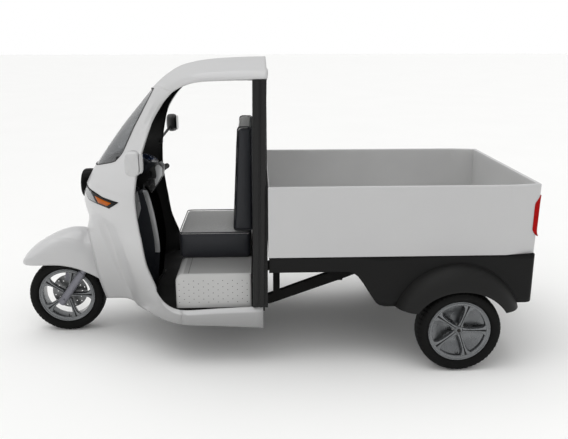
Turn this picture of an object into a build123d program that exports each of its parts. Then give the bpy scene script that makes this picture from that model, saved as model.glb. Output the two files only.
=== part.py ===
"""Three wheeled electric pickup: one steered front wheel, open cab with one seat, load bed behind.

Lengths in millimetres. Stations along X are measured from the front axle and grow rearward, Y grows to
the vehicle's right, Z is the height above the ground. The finished pieces are shifted along X so that the
origin lies under the middle of the vehicle.
"""
from build123d import *
from math import cos, pi, radians, sin, tan
import os

# --- driving dimensions -------------------------------------------------------------------------
wheelbase = 2362
tyre_radius = 241.5
tyre_section = 130
rim_seat_radius = 165
rim_flange_radius = 178
rear_track = 1290
rim_half_width = 50
flange_wall = 6
disc_y = 32.5
fork_rake = 36             # steering axis, degrees from the vertical, through the front hub

cab_rear_x = 1287          # rear face of the door pillars
cab_side_y = 612           # half width of the cab at the pillars
shell_wall = 12
liner_wall = 8
glass_wall = 5
seam = 0.3                 # running gap between pieces that are fitted to each other

bed_front_x = 1292
bed_rear_x = 2800
bed_top_z = 1066
bed_floor_z = 690
bed_base_z = 662
bed_half_width = 622
bed_wall = 22
bed_taper = 10             # how far the walls lean in at the base

skirt_wall = 16
skirt_y = 608              # outer face of the skirts
skirt_corner = 12
skirt_low_z = 575
skirt_top_x = bed_rear_x - 33
skirt_rear_x = bed_rear_x - 15
skirt_rear_z = 392
plate_z = 520
plate_half = 110
plate_face_x = bed_rear_x - 8
plate_hole_y = 80
arch_radius = 300
flare_root_radius = 370
flare_lip_y = 720

rail_height = 60
rail_width = 40
rail_y = 300
rail_z = 275

pillar_depth_x = 90
pillar_width_y = 44
sill_front_x = 793
sill_top_z = 356
sill_rear_top_z = 372
floor_z = 330
floor_wall = 22
seat_top_z = 716

# --- cab surface --------------------------------------------------------------------------------
# Level outlines of the cab from the lower edge to the crown. At each height: the nose on the centre line,
# the crease that runs down beside the windscreen and the lamp, the edge of the door opening, and the side
# at the rear.
#               z   nose  crease_x crease_y  edge_x edge_y side_y
cab_levels = [(275,  200,  495,     350,      690,   588,   600),
              (450,  160,  443,     350,      655,   592,   612),
              (610,  145,  400,     348,      607,   590,   612),
              (780,  160,  340,     325,      581,   590,   612),
              (985,  184,  291,     318,      561,   582,   612),
              (1084, 234,  352,     332,      566,   548,   612),
              (1223, 334,  470,     342,      592,   462,   612),
              (1353, 437,  533,     325,      635,   378,   612),
              (1450, 518,  592,     308,      683,   340,   612),
              (1557, 616,  655,     300,      775,   440,   612),
              (1638, 708,  745,     330,      880,   588,   608),
              (1690, 815,  840,     320,      960,   470,   500),
              (1732, 1120, 1150,    100,      1190,  160,   190)]


made_hulls = {}


def cab_hull(inset=0):
    """The closed volume inside the cab surface, shrunk by inset, and run on behind the pillars."""
    if inset in made_hulls:
        return made_hulls[inset]
    outlines = []
    for z, nose, crease_x, crease_y, edge_x, edge_y, side_y in cab_levels:
        rear = cab_rear_x + 60
        edge = (edge_x + 20 + inset / 4, edge_y - inset)
        crease = (crease_x + inset * 0.7, crease_y - inset * 0.7)
        right = Line((crease[0], crease[1]), edge)
        right_side = Line(edge, (rear, side_y - inset))
        back = Line((rear, side_y - inset), (rear, inset - side_y))
        left_side = Line((rear, inset - side_y), (edge[0], -edge[1]))
        left = Line((edge[0], -edge[1]), (crease[0], -crease[1]))
        front = ThreePointArc((crease[0], -crease[1]), (nose + inset, 0), crease)
        outline = make_face([right, right_side, back, left_side, left, front])
        outlines.append(Pos(0, 0, z - inset) * outline)
    made_hulls[inset] = loft(outlines, ruled=True)
    return made_hulls[inset]


def side_prism(points, y_from, y_to):
    """A side outline given as (x, z) points, swept across the vehicle."""
    face = make_face(Polyline(*[(x, 0, z) for x, z in points], close=True))
    return extrude(Pos(0, y_from, 0) * face, amount=y_to - y_from, dir=(0, 1, 0))


def front_prism(points, x_from, x_to):
    """A front outline given as (y, z) points, swept along the vehicle."""
    face = make_face(Polyline(*[(0, y, z) for y, z in points], close=True))
    return extrude(Pos(x_from, 0, 0) * face, amount=x_to - x_from, dir=(1, 0, 0))


def block(x_from, x_to, y_from, y_to, z_from, z_to):
    size = (x_to - x_from, y_to - y_from, z_to - z_from)
    return Pos((x_from + x_to) / 2, (y_from + y_to) / 2, (z_from + z_to) / 2) * Box(*size)


def tube(points, diameter, bend=0, bore=0):
    """A round tube along straight runs, with a bend radius at each corner."""
    if len(points) == 2:
        path = Line(*points)
    elif bend:
        path = FilletPolyline(*points, radius=bend)
    else:
        path = Polyline(*points)
    section = Plane(origin=path @ 0, z_dir=path % 0) * Circle(diameter / 2)
    if bore:
        section -= Plane(origin=path @ 0, z_dir=path % 0) * Circle(bore / 2)
    return sweep(section, path=path)


def mirrored(shape):
    """The right-hand twin of a left-hand piece."""
    return mirror(shape, about=Plane.XZ)


# --- steering axis ------------------------------------------------------------------------------
hub_z = tyre_radius
axis_lean = radians(fork_rake)


def on_axis(distance, y=0, ahead=0):
    """A point at a distance up the steering axis from the hub, and so far ahead of it."""
    x = distance * sin(axis_lean) - ahead * cos(axis_lean)
    z = hub_z + distance * cos(axis_lean) + ahead * sin(axis_lean)
    return (x, y, z)


def axis_plane(distance):
    """A plane square to the steering axis, its X to the rear and its Z up the axis."""
    direction = (sin(axis_lean), 0, cos(axis_lean))
    rearward = (cos(axis_lean), 0, -sin(axis_lean))
    return Plane(origin=on_axis(distance), x_dir=rearward, z_dir=direction)


leg_y = 110
guard_boss_at = 300
guard_half = 146
guard_wall = 4
leg_diameter = 40
slider_diameter = 48
yoke_at = 518              # distances up the steering axis from the hub
yoke_wall = 34
head_from = 556
head_to = 752
head_diameter = 58
stem_diameter = 30
spindle_radius = 10
running_gap = 0.3
bar_at = 985
bar_half_width = 330
bar_diameter = 24
grip_diameter = 34
grip_length = 120

# --- openings of the cab ------------------------------------------------------------------------
door_top = [(840, 1597), (944, 1625)]
door_top_z = 1636
door_rear_x = cab_rear_x - pillar_depth_x
glass_margin = 3
recess_half_width = 236
recess_top_z = 758
recess_rear_x = 470


def door_opening(y_from, y_to):
    front_edge = [(row[4], row[0]) for row in cab_levels if 450 <= row[0] <= 1557]
    low_corner = [(door_rear_x, sill_top_z), (sill_front_x, sill_top_z), (728, 378)]
    return side_prism(low_corner + front_edge + door_top + [(door_rear_x, door_top_z)], y_from, y_to)


def windscreen_outline(margin):
    low, rise, high = 1088, 62, 1562
    half_low, half_high = 316, 286
    points = [(0, low + margin), (half_low * 0.6, low + rise * 0.45 + margin),
              (half_low - margin, low + rise + margin + 12), (half_low + 6 - margin, low + rise + 60),
              (half_high - margin, high - 26), (half_high - 26 - margin, high - margin)]
    left = [(-y, z) for y, z in reversed(points[1:])]
    return front_prism(points + left, 0, 720)


def wheel_recess(wall=0, reach=0):
    """The space for the steered wheel, open forward and below; reach lengthens it past those openings."""
    rear = recess_rear_x - wall
    top = recess_top_z - wall
    outline = [(-60 - reach, 120 - reach), (rear, 120 - reach), (rear, 330), (rear - 30, top - 130),
               (rear - 75, top), (-60 - reach, top)]
    return side_prism(outline, wall - recess_half_width, recess_half_width - wall)


roof_line = [(526, 1640), (821, 1369), (1400, 1369), (1400, 1900), (526, 1900)]


def cab_wall(outer, inner):
    return (cab_hull(outer) - cab_hull(inner)) & block(0, cab_rear_x, -800, 800, 0, 1900)


def lamp_prism(margin):
    points = [(205, 1000), (197, 958), (234, 917), (308, 911), (390, 908), (462, 962), (347, 966), (284, 983)]
    face = make_face(Polyline(*[(x, 0, z) for x, z in points], close=True))
    if margin:
        face = offset(face, amount=-margin)
    return extrude(Pos(0, -490, 0) * face, amount=340, dir=(0, 1, 0))


def cab_front(outer, inner):
    wall = cab_wall(outer, inner) & block(0, sill_front_x, -800, 800, 0, 1900)
    wall -= side_prism(roof_line, -800, 800)
    wall -= door_opening(-800, 800)
    return wall - wheel_recess()


def cab_front_shell():
    shell = cab_front(0, shell_wall) - windscreen_outline(0)
    lamp = lamp_prism(0)
    return shell - lamp - mirrored(lamp)


def cab_liner():
    liner = cab_front(shell_wall + seam, shell_wall + seam + liner_wall)
    return liner - windscreen_outline(-6)


def cab_roof():
    roof = cab_wall(0, shell_wall + liner_wall) & side_prism(roof_line, -800, 800)
    roof -= door_opening(-800, 800)
    roof -= block(door_rear_x - 5, 1400, -800, 800, 0, door_top_z)
    return roof - windscreen_outline(0)


def windscreen():
    pane = cab_hull(glass_margin) - cab_hull(glass_margin + glass_wall)
    return pane & windscreen_outline(seam)


def wheel_housing():
    wall = 4
    lining = wheel_recess(seam) - wheel_recess(wall, reach=20)
    lining &= cab_hull(shell_wall + seam + liner_wall + seam)
    hole = extrude(axis_plane(head_from + 10) * Circle(head_diameter / 2 + 12), amount=240)
    return lining - hole


def sill():
    x_to = door_rear_x + pillar_depth_x - 30
    rows = [(sill_front_x + seam, 270, 333, sill_top_z - 2), (x_to, 241, 344, sill_rear_top_z)]
    faces = []
    for x, low, bevel, top in rows:
        points = [(x, -565, top), (x, -592, top), (x, -612, bevel), (x, -600, low), (x, -565, low)]
        faces.append(make_face(Polyline(*points, close=True)))
    return loft(faces, ruled=True)


def b_pillar():
    base = sill_rear_top_z + seam
    post = block(door_rear_x + seam, cab_rear_x, -cab_side_y - 4, pillar_width_y - cab_side_y, base, door_top_z - seam)
    groove = block(door_rear_x + 38, door_rear_x + 50, -cab_side_y - 5, -cab_side_y + 4, base - 1, door_top_z)
    return post - groove


def cab_floor():
    pan = block(480, cab_rear_x - 20, -563, 563, floor_z, floor_z + floor_wall)
    pan &= cab_hull(shell_wall + liner_wall + 1)
    pan -= block(480, 536, -36, 36, 0, 900)
    return pan - wheel_recess(-1)


def nose_lamp_pod():
    ring = loft([Pos(190, 0, 968) * Rot(0, 90, 0) * Ellipse(76, 92),
                 Pos(147, 0, 968) * Rot(0, 90, 0) * Ellipse(66, 80)], ruled=True)
    return ring - cab_hull(-0.3)


def lamp_cluster():
    """Corner lamp let into the crease: silver reflector in front, orange turn light behind."""
    return lamp_prism(0.4) & (cab_hull(-3) - cab_hull(shell_wall - 2))


def console():
    outline = [(500, 905), (508, 930), (560, 950), (592, 905), (572, 815), (600, 714), (624, 572),
               (611, 480), (600, floor_z + floor_wall + seam), (486, floor_z + floor_wall + seam), (486, 760)]
    half = 150
    body = side_prism(outline, -half, half)
    flank = body.edges().group_by(Axis.Y)
    facing = (flank[0] + flank[-1]).filter_by(lambda edge: edge.center().X > 560 and edge.center().Z > 352)
    body = fillet(facing, 24)
    body -= extrude(axis_plane(head_from - 100) * Circle(head_diameter / 2 + 6), amount=700)
    return body - block(480, 536, -36, 36, 0, 880)


def seat_box():
    front_x, rear_x, half, top_z = 762, 1192, 556, 556
    base_z = floor_z + floor_wall + seam
    box = block(front_x, rear_x, -half, half, base_z, top_z)
    box = fillet(box.edges().filter_by(Axis.Y).group_by(Axis.Z)[-1].sort_by(Axis.X)[0], 46)
    return box - block(front_x + 6, rear_x - 6, -half + 6, half - 6, base_z - 10, top_z - 6)


def battery_pack():
    return block(800, 1160, -300, 300, floor_z + floor_wall + 2 * seam, 540)


def seat_cushion():
    pad = block(768, 1188, -278, 278, 556 + seam, seat_top_z)
    return fillet(pad.edges(), 14)


def seat_backrest():
    face = [(1096, seat_top_z + seam), (1184, seat_top_z + seam), (1186, 1352), (1132, 1352)]
    pad = side_prism(face, -276, 276)
    return fillet(pad.edges(), 14)


def cab_rear_panel():
    half = cab_side_y - pillar_width_y - seam
    base = floor_z + floor_wall + seam
    panel = block(cab_rear_x - 24, cab_rear_x - 2, -half, half, base, 1700)
    panel &= cab_hull(shell_wall + liner_wall + seam)
    return panel - rear_window_prism(0, 1200, 1300)


def rear_window_prism(margin, x_from, x_to):
    low, high, half_low, half_high = 1120 + margin, 1560 - margin, 430 - margin, 400 - margin
    return front_prism([(-half_low, low), (half_low, low), (half_high, high), (-half_high, high)], x_from, x_to)


def rear_window():
    x_from = cab_rear_x - 15
    return rear_window_prism(seam, x_from, x_from + glass_wall)


bed_lean_x = 32            # how far the tail wall leans in at the base
bed_bend_x = bed_rear_x - 180  # where the side walls turn in toward the tail
bed_turn_y = 34
bed_corner = 15
bed_lip = 6
bed_rib_count = 9
bed_rib_height = 5


def bed_level(z, inset):
    share = (bed_top_z - z) / (bed_top_z - bed_base_z)
    half = bed_half_width - inset - bed_taper * share
    front = bed_front_x + max(inset, 0)
    rear = bed_rear_x - inset - bed_lean_x * share
    points = [(front, -half), (bed_bend_x, -half), (rear, bed_turn_y - half), (rear, half - bed_turn_y),
              (bed_bend_x, half), (front, half)]
    return Pos(0, 0, z) * make_face(Polyline(*points, close=True))


def bed_tub(inset, z_from=bed_base_z, z_to=bed_top_z):
    return loft([bed_level(z_from, inset), bed_level(z_to, inset)], ruled=True)


def tail_lamp_recess(depth):
    outline = [(-640, 770), (-560, 790), (-560, 990), (-640, 1014)]
    zone = front_prism(outline, bed_rear_x - 43, bed_rear_x + 40)
    return zone & (bed_tub(-5) - bed_tub(depth))


def rear_corners_rounded(shape, radius):
    """Round the two upright edges at the rear of a shape."""
    upright = shape.edges().filter_by(lambda edge: abs((edge @ 1 - edge @ 0).Z) > 100)
    return fillet(upright.sort_by(Axis.X)[-2:], radius)


def load_bed():
    """A tub of folded sheet: rounded corners, a rolled lip and a ribbed floor."""
    tub = rear_corners_rounded(bed_tub(0), bed_corner) - bed_tub(bed_wall, bed_floor_z, bed_top_z + 1)
    tub = fillet(tub.edges().group_by(Axis.Z)[-1], bed_lip)
    pitch = 2 * (bed_half_width - bed_wall - bed_taper) / bed_rib_count
    for number in range(bed_rib_count):
        y = (number - (bed_rib_count - 1) / 2) * pitch
        crest, foot = 0.16 * pitch, 0.24 * pitch
        section = [(y - foot, bed_floor_z - 1), (y + foot, bed_floor_z - 1), (y + crest, bed_floor_z + bed_rib_height),
                   (y - crest, bed_floor_z + bed_rib_height)]
        tub += front_prism(section, bed_front_x + bed_wall + 24, bed_rear_x - bed_wall - bed_lean_x - 24)
    lamp = tail_lamp_recess(12)
    return tub - lamp - mirrored(lamp)


def bed_skirt():
    top = bed_base_z - seam
    #            before the axle, height: the fall of the lower edge ahead of the arch
    fall = [(607, skirt_low_z), (540, 520), (457, 380), (404, 365)]
    outline = [(bed_front_x, top), (bed_front_x, skirt_low_z)]
    outline += [(wheelbase - ahead, z) for ahead, z in fall]
    outline += [(skirt_rear_x - skirt_wall - seam, skirt_rear_z), (skirt_top_x - skirt_wall - seam, top)]
    wall = side_prism(outline, -skirt_y, skirt_wall - skirt_y)
    cut = Pos(wheelbase, -500, hub_z) * Rot(90, 0, 0) * Cylinder(flare_root_radius - 20, 400)
    return wall - cut


def rear_bumper():
    top = bed_base_z - seam
    outline = [(skirt_top_x - skirt_wall, top), (skirt_top_x, top), (skirt_rear_x, skirt_rear_z),
               (skirt_rear_x - skirt_wall, skirt_rear_z)]
    panel = rear_corners_rounded(side_prism(outline, -skirt_y, skirt_y), skirt_corner)
    panel += block(skirt_rear_x - skirt_wall, plate_face_x, -plate_half, plate_half, plate_z - 55, plate_z + 55)
    for y in (-plate_hole_y, plate_hole_y):
        panel -= Pos(skirt_rear_x, y, plate_z) * Rot(0, 90, 0) * Cylinder(3.5, 80)
    return panel


def arch_flare():
    """A moulded arch: its section curls from the skirt out to a lip, and turns about the axle."""
    root_y, lip_y, lip = -skirt_y, -flare_lip_y, 14
    seat = 22                              # the flat that lies on the skirt
    outer = ThreePointArc((0, root_y, flare_root_radius), (0, lip_y + 40, flare_root_radius - 21), (0, lip_y, arch_radius + 16))
    inner = ThreePointArc((0, lip_y + lip, arch_radius), (0, lip_y + 56, arch_radius + 34), (0, root_y, flare_root_radius - seat))
    edge = Polyline((0, lip_y, arch_radius + 16), (0, lip_y, arch_radius), (0, lip_y + lip, arch_radius))
    root = Line((0, root_y, flare_root_radius - seat), (0, root_y, flare_root_radius))
    ring = Pos(wheelbase, 0, hub_z) * revolve(make_face([outer, edge, inner, root]), axis=Axis.Y)
    reach = flare_root_radius + 90
    return ring & block(wheelbase - reach, wheelbase + reach, -900, -500, 362, 900)


def tail_lamp():
    return tail_lamp_recess(12 - seam)


def mirror_head():
    shell = block(572, 652, -862, -742, 1176, 1302)
    shell = fillet(shell.edges(), 16)
    arm = tube([(600, -750, 1205), (560, -462, 1152)], 18)
    return shell + arm - cab_hull(-seam)


def chassis_frame():
    low_z = rail_z
    high_z = 520
    rails = None
    step_from, step_to, arch_from = wheelbase - 1062, wheelbase - 622, wheelbase - 392
    rail_end = wheelbase + 378
    step_z = high_z - 90
    for side in (-1, 1):
        y = side * rail_y
        outline = [(500, low_z), (step_from, low_z), (step_to, step_z), (arch_from, high_z), (rail_end, high_z),
                   (rail_end, high_z + rail_height), (arch_from - 20, high_z + rail_height),
                   (step_to - 20, step_z + rail_height), (step_from - 15, floor_z - seam), (500, floor_z - seam)]
        rail = side_prism(outline, y - rail_width / 2, y + rail_width / 2)
        rails = rail if rails is None else rails + rail
    member = 40
    #          station, underside: cross-members between the rails
    cross = [(500, low_z), (900, low_z), (step_from - 60, low_z), (wheelbase - 302, high_z + 5), (rail_end - member, high_z + 5)]
    for x, z in cross:
        rails += block(x, x + member, -rail_y, rail_y, z, z + rail_height - 10)
    #           station, foot of the uprights: bearers under the bed
    bearers = [(step_from + 20, 300), (wheelbase - 662, 420), (wheelbase - 302, high_z + 20), (rail_end - member, high_z + 20)]
    for x, foot in bearers:
        rails += block(x, x + member, -560, 560, 610, bed_base_z - seam)
        for side in (-1, 1):
            rails += block(x, x + member, side * rail_y - 20, side * rail_y + 20, foot, 640)
    head = extrude(axis_plane(head_from) * (Circle(head_diameter / 2) - Circle(stem_diameter / 2 + running_gap)),
                   amount=head_to - head_from)
    down = block(496, 530, -30, 30, low_z, 700)
    arm = side_prism([(430, 800), (500, 690), (530, 690), (530, 740), (450, 845)], -30, 30)
    arm -= extrude(axis_plane(head_from - 40) * Circle(head_diameter / 2 - 2), amount=300)
    return rails + down + arm + head


def rear_axle():
    y_end = rear_track / 2 - 78
    beam = Pos(wheelbase, 0, hub_z) * Rot(90, 0, 0) * Cylinder(32, 2 * y_end)
    gearbox = Pos(wheelbase, 60, hub_z) * Rot(90, 0, 0) * Cylinder(92, 110)
    motor = Pos(wheelbase, -75, hub_z) * Rot(90, 0, 0) * Cylinder(105, 170)
    shafts = Pos(wheelbase, 0, hub_z) * Rot(90, 0, 0) * Cylinder(spindle_radius, rear_track + 88)
    axle = beam + gearbox + motor + shafts
    for side in (-1, 1):
        axle += Pos(wheelbase, side * (y_end - 5), hub_z) * Rot(90, 0, 0) * Cylinder(88, 12)
        axle += block(wheelbase - 45, wheelbase + 45, side * rail_y - 30, side * rail_y + 30, hub_z, hub_z + 44)
    return axle


def leaf_spring():
    eye_z, leaf_wall, width = 480, 8, 50
    radius, half_span = 483, 350
    low = hub_z + 44 + seam
    centre = Pos(wheelbase, -rail_y, low + radius) * Rot(90, 0, 0)
    pack = None
    for number, reach in enumerate([170, 260, half_span]):
        outer = radius - number * leaf_wall
        ring = centre * (Cylinder(outer, width) - Cylinder(outer - leaf_wall, width))
        leaf = ring & block(wheelbase - reach, wheelbase + reach, -rail_y - 60, 60 - rail_y, 200, 520)
        pack = leaf if pack is None else pack + leaf
    for x in (wheelbase - half_span, wheelbase + half_span):
        eye = Pos(x, -rail_y, eye_z) * Rot(90, 0, 0) * Cylinder(20, width)
        hanger = block(x - 9, x + 9, -rail_y - width / 2, width / 2 - rail_y, eye_z, 520 - seam)
        pack = pack + eye + hanger
    return pack


def brake_pedal():
    y = -190
    pad = fillet((Pos(640, y, 425) * Rot(0, -55, 0) * Box(60, 62, 10)).edges(), 3)
    arm = tube([(634, y, 420), (606, y, 390), (606, y, floor_z + floor_wall + seam)], 14, bend=12)
    return pad + arm


# --- front fork and what turns with it ----------------------------------------------------------
def fork():
    body = None
    for side in (-1, 1):
        y = side * leg_y
        slider = extrude(Pos(0, y, 0) * axis_plane(-34) * Circle(slider_diameter / 2), amount=250)
        tube_leg = extrude(Pos(0, y, 0) * axis_plane(200) * Circle(leg_diameter / 2), amount=yoke_at - 200 + yoke_wall)
        leg = slider + tube_leg
        body = leg if body is None else body + leg
    plate = extrude(axis_plane(yoke_at) * RectangleRounded(70, 2 * leg_y + 60, 26), amount=yoke_wall)
    stem = extrude(axis_plane(yoke_at) * Circle(stem_diameter / 2), amount=bar_at - yoke_at - bar_diameter / 2 - 1)
    spindle = Pos(0, 0, hub_z) * Rot(90, 0, 0) * Cylinder(spindle_radius, 2 * leg_y + 70)
    for side in (-1, 1):
        x, _, z = on_axis(guard_boss_at)
        y_from = side * (leg_y + 12)
        y_to = side * (guard_half - guard_wall - seam)
        body += Pos(x, (y_from + y_to) / 2, z) * Rot(90, 0, 0) * Cylinder(11, abs(y_to - y_from))
    return body + plate + stem + spindle


bar_rise = -28
bar_back = 48
bar_bend_y = 120


def bar_tube(diameter):
    x, _, z = on_axis(bar_at)
    half = [(x, 60, z), (x + 10, bar_bend_y, z + bar_rise), (x + bar_back, bar_half_width, z + bar_rise)]
    left = [(px, -py, pz) for px, py, pz in reversed(half)]
    return tube(left + half, diameter, bend=30)


def bar_clamp(radius, end_gap=0):
    return extrude(axis_plane(bar_at - 44 - end_gap) * Circle(radius), amount=60 + 2 * end_gap)


def handlebar():
    bar = bar_tube(bar_diameter) + bar_clamp(24)
    bar -= extrude(axis_plane(bar_at - 60) * Circle(stem_diameter / 2 + 0.2), amount=60 - bar_diameter / 2 - 0.5)
    x, _, z = on_axis(bar_at)
    for side in (-1, 1):
        outer = (x + bar_back, side * bar_half_width, z + bar_rise)
        slope = (bar_back - 10) / (bar_half_width - bar_bend_y)
        inner = (outer[0] - slope * grip_length, side * (bar_half_width - grip_length), outer[2])
        bar += tube([outer, inner], grip_diameter)
    return bar


def instrument_pod():
    low = Pos(560, 0, 1042) * Rot(0, 25, 0) * Ellipse(40, 64)
    high = Pos(568, 0, 1120) * Rot(0, 25, 0) * Ellipse(54, 92)
    pod = loft([low, high], ruled=True)
    return pod - bar_tube(bar_diameter + 2 * seam) - bar_clamp(24 + seam, seam)


def front_mudguard():
    wall = guard_wall
    #        x   crown crease  hem  half  crease_y
    rows = [(-232, 522, 510, 482, 118, 90),
            (-190, 562, 547, 478, 140, 107),
            (-110, 614, 598, 479, guard_half, 111),
            (0, 664, 645, 477, guard_half, 111),
            (75, 682, 642, 463, guard_half, 111),
            (160, 670, 610, 430, guard_half, 118),
            (244, 657, 634, 384, guard_half, 138)]

    def guard(inset, drop, tail):
        outlines = []
        for x, crown, crease, hem, half, crease_y in rows:
            crown, crease, half, crease_y = crown - inset, crease - inset, half - inset, crease_y - inset
            shoulder = hem + 0.6 * (crease - hem)
            place = x + tail if x == rows[-1][0] else x
            side = [(place, -half, hem - drop), (place, -half, shoulder), (place, -crease_y, crease)]
            left = Polyline(*side)
            right = Polyline(*[(px, -py, pz) for px, py, pz in reversed(side)])
            top = ThreePointArc(side[2], (place, 0, crown), (place, crease_y, crease))
            outlines.append(make_face([left, top, right, Line(right @ 1, left @ 0)]))
        return loft(outlines, ruled=True)
    return guard(0, 0, 0) - Pos(wall, 0, 0) * guard(wall, 30, 12)


def brake_caliper():
    turn = Pos(0, 0, hub_z) * Rot(0, 10, 0)
    body = turn * block(-38, 38, disc_y - 17, leg_y - slider_diameter / 2 - seam, 74, 132)
    return body - turn * block(-60, 60, disc_y - 5, disc_y + 9, 0, 118)


# --- wheels -------------------------------------------------------------------------------------
def ring_about_y(points):
    """Revolve (radius, y) points about the Y axis."""
    face = make_face(Polyline(*[(0, y, r) for r, y in points], close=True))
    return revolve(face, axis=Axis.Y)


tyre_flats = 56             # a multiple of four, so that a corner stands on the ground


def tyre():
    """A ring of flat facets about the Y axis, light enough to carry three of them."""
    half = tyre_section / 2
    bead = rim_half_width - flange_wall - seam
    clear = 1 / cos(pi / tyre_flats)       # keeps the middle of each flat off the rim
    profile = [((rim_seat_radius + 1 + seam) * clear, bead), ((rim_flange_radius + seam) * clear, bead),
               (rim_flange_radius + 3, half - 10), (200, half), (222, half - 8), (236, half - 28), (tyre_radius, 0)]
    section = profile + [(r, -y) for r, y in reversed(profile[:-1])]
    rings = []
    for number in range(tyre_flats + 1):
        turn = 2 * pi * number / tyre_flats
        rings.append([(r * sin(turn), y, r * cos(turn)) for r, y in section])
    flats = []
    for near, far in zip(rings, rings[1:]):
        for k in range(len(section)):
            flats.append(make_face(Polyline(near[k - 1], near[k], far[k], far[k - 1], close=True)))
    return Solid(Shell(flats))


def rim(drum):
    """Five-spoke cast wheel, its spoke face turned to -Y."""
    seat = rim_seat_radius
    edge = rim_half_width
    face_y = -edge
    well = edge - flange_wall
    barrel = [(rim_flange_radius, edge), (rim_flange_radius, well), (seat + 1, well), (seat + 1, -well),
              (rim_flange_radius, -well), (rim_flange_radius, -edge), (seat - 6, -edge), (seat - 10, -20),
              (seat - 10, 20), (seat - 6, edge)]
    wheel = ring_about_y(barrel)
    bore = spindle_radius + running_gap
    wheel += ring_about_y([(bore, face_y + 8), (26, face_y + 8), (34, face_y + 16), (36, 30), (bore, 30)])
    if drum:
        wheel += ring_about_y([(bore, 24), (70, 24), (80, 32), (80, 72), (70, 72), (66, 36), (bore, 36)])
    for number in range(5):
        arm = [(-13, 20), (-10, 110), (-22, seat - 4), (22, seat - 4), (10, 110), (13, 20)]
        spoke = extrude(make_face(Polyline(*[(a, face_y + 4, r) for a, r in arm], close=True)), amount=26, dir=(0, 1, 0))
        groove = block(-3, 3, face_y, face_y + 12, 50, 150)
        wheel += Rot(0, 72 * number, 0) * (spoke - groove)
    return wheel


def brake_disc():
    plate = ring_about_y([(16, 30 + seam), (112, 30 + seam), (112, 35), (16, 35)])
    for number in range(12):
        for radius in (78, 98):
            hole = Pos(0, disc_y, radius) * Rot(90, 0, 0) * Cylinder(4, 12)
            plate -= Rot(0, 30 * number + (radius - 78) / 20 * 15, 0) * hole
    return plate


# --- assembly -----------------------------------------------------------------------------------
def pieces():
    front_hub = Pos(0, 0, hub_z)
    one_tyre = tyre()
    made = {
        "chassis_frame": chassis_frame(),
        "cab_floor": cab_floor(),
        "cab_front_shell": cab_front_shell(),
        "cab_liner": cab_liner(),
        "cab_roof": cab_roof(),
        "windscreen": windscreen(),
        "wheel_housing": wheel_housing(),
        "nose_lamp": nose_lamp_pod(),
        "console": console(),
        "seat_box": seat_box(),
        "battery_pack": battery_pack(),
        "seat_cushion": seat_cushion(),
        "seat_backrest": seat_backrest(),
        "cab_rear_panel": cab_rear_panel(),
        "rear_window": rear_window(),
        "load_bed": load_bed(),
        "rear_bumper": rear_bumper(),
        "rear_axle": rear_axle(),
        "brake_pedal": brake_pedal(),
        "fork": fork(),
        "handlebar": handlebar(),
        "instrument_pod": instrument_pod(),
        "front_mudguard": front_mudguard(),
        "brake_caliper": brake_caliper(),
        "front_rim": front_hub * rim(drum=False),
        "front_tyre": front_hub * one_tyre,
        "front_brake_disc": front_hub * brake_disc(),
    }
    paired = {"corner_lamp": lamp_cluster(), "sill": sill(), "door_pillar": b_pillar(), "bed_skirt": bed_skirt(),
              "arch_flare": arch_flare(), "tail_lamp": tail_lamp(), "mirror": mirror_head(),
              "leaf_spring": leaf_spring()}
    rear_hub = Pos(wheelbase, -rear_track / 2, hub_z)
    paired["rear_rim"] = rear_hub * rim(drum=True)
    paired["rear_tyre"] = rear_hub * one_tyre
    for name, piece in paired.items():
        made[name + "_left"] = piece
        made[name + "_right"] = mirrored(piece)
    return made


front_most = -tyre_radius
rear_most = bed_rear_x
origin_shift = Pos(-(front_most + rear_most) / 2, 0, 0)

os.makedirs("parts", exist_ok=True)
for node, piece in pieces().items():
    export_step(origin_shift * piece, f"parts/{node}.step")
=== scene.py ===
import math

import bmesh
import bpy
from mathutils import Matrix, Vector
from mathutils.bvhtree import BVHTree
from mathutils.geometry import delaunay_2d_cdt
from mathutils.kdtree import KDTree


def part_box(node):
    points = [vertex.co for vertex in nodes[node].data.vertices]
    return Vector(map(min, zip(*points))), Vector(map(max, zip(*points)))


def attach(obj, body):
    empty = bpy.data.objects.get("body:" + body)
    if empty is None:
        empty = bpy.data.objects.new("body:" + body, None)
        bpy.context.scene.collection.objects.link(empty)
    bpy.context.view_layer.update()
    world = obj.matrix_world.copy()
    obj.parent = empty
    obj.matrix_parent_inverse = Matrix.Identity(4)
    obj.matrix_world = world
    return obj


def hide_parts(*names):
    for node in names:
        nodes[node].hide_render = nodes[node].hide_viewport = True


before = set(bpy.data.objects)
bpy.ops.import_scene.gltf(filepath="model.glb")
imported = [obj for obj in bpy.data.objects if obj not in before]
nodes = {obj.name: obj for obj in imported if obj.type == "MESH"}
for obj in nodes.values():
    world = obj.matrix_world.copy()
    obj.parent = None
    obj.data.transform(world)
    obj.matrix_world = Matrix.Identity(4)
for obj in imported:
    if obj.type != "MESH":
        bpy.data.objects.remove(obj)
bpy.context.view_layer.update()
tyreLow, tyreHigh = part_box("front_tyre")
axleX = (tyreLow.x + tyreHigh.x) / 2      # stations below are millimetres behind the front axle
hubHeight = 241.5
handed = ((-1, "left"), (1, "right"))     # the vehicle faces -X, its left side is at -Y
print("frame loaded,", len(nodes), "nodes")


def at(x, y, z):                      # from station, side and height in millimetres to metres in the frame
    return Vector((x / 1000 + axleX, y / 1000, z / 1000))


def mix(a, b, share):
    return a + (b - a) * share


def degrees(*span):                   # a range of whole degrees, in radians
    return [math.radians(t) for t in range(*span)]


def ringTurns(steps):                 # the angles of an even ring
    return [2 * math.pi * k / steps for k in range(steps)]


def bend(start, corner, end, steps):  # a curve from start to end that leans into the corner
    shares = [k / steps for k in range(steps + 1)]
    return [start * (1 - t) ** 2 + corner * 2 * t * (1 - t) + end * t ** 2 for t in shares]


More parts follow.
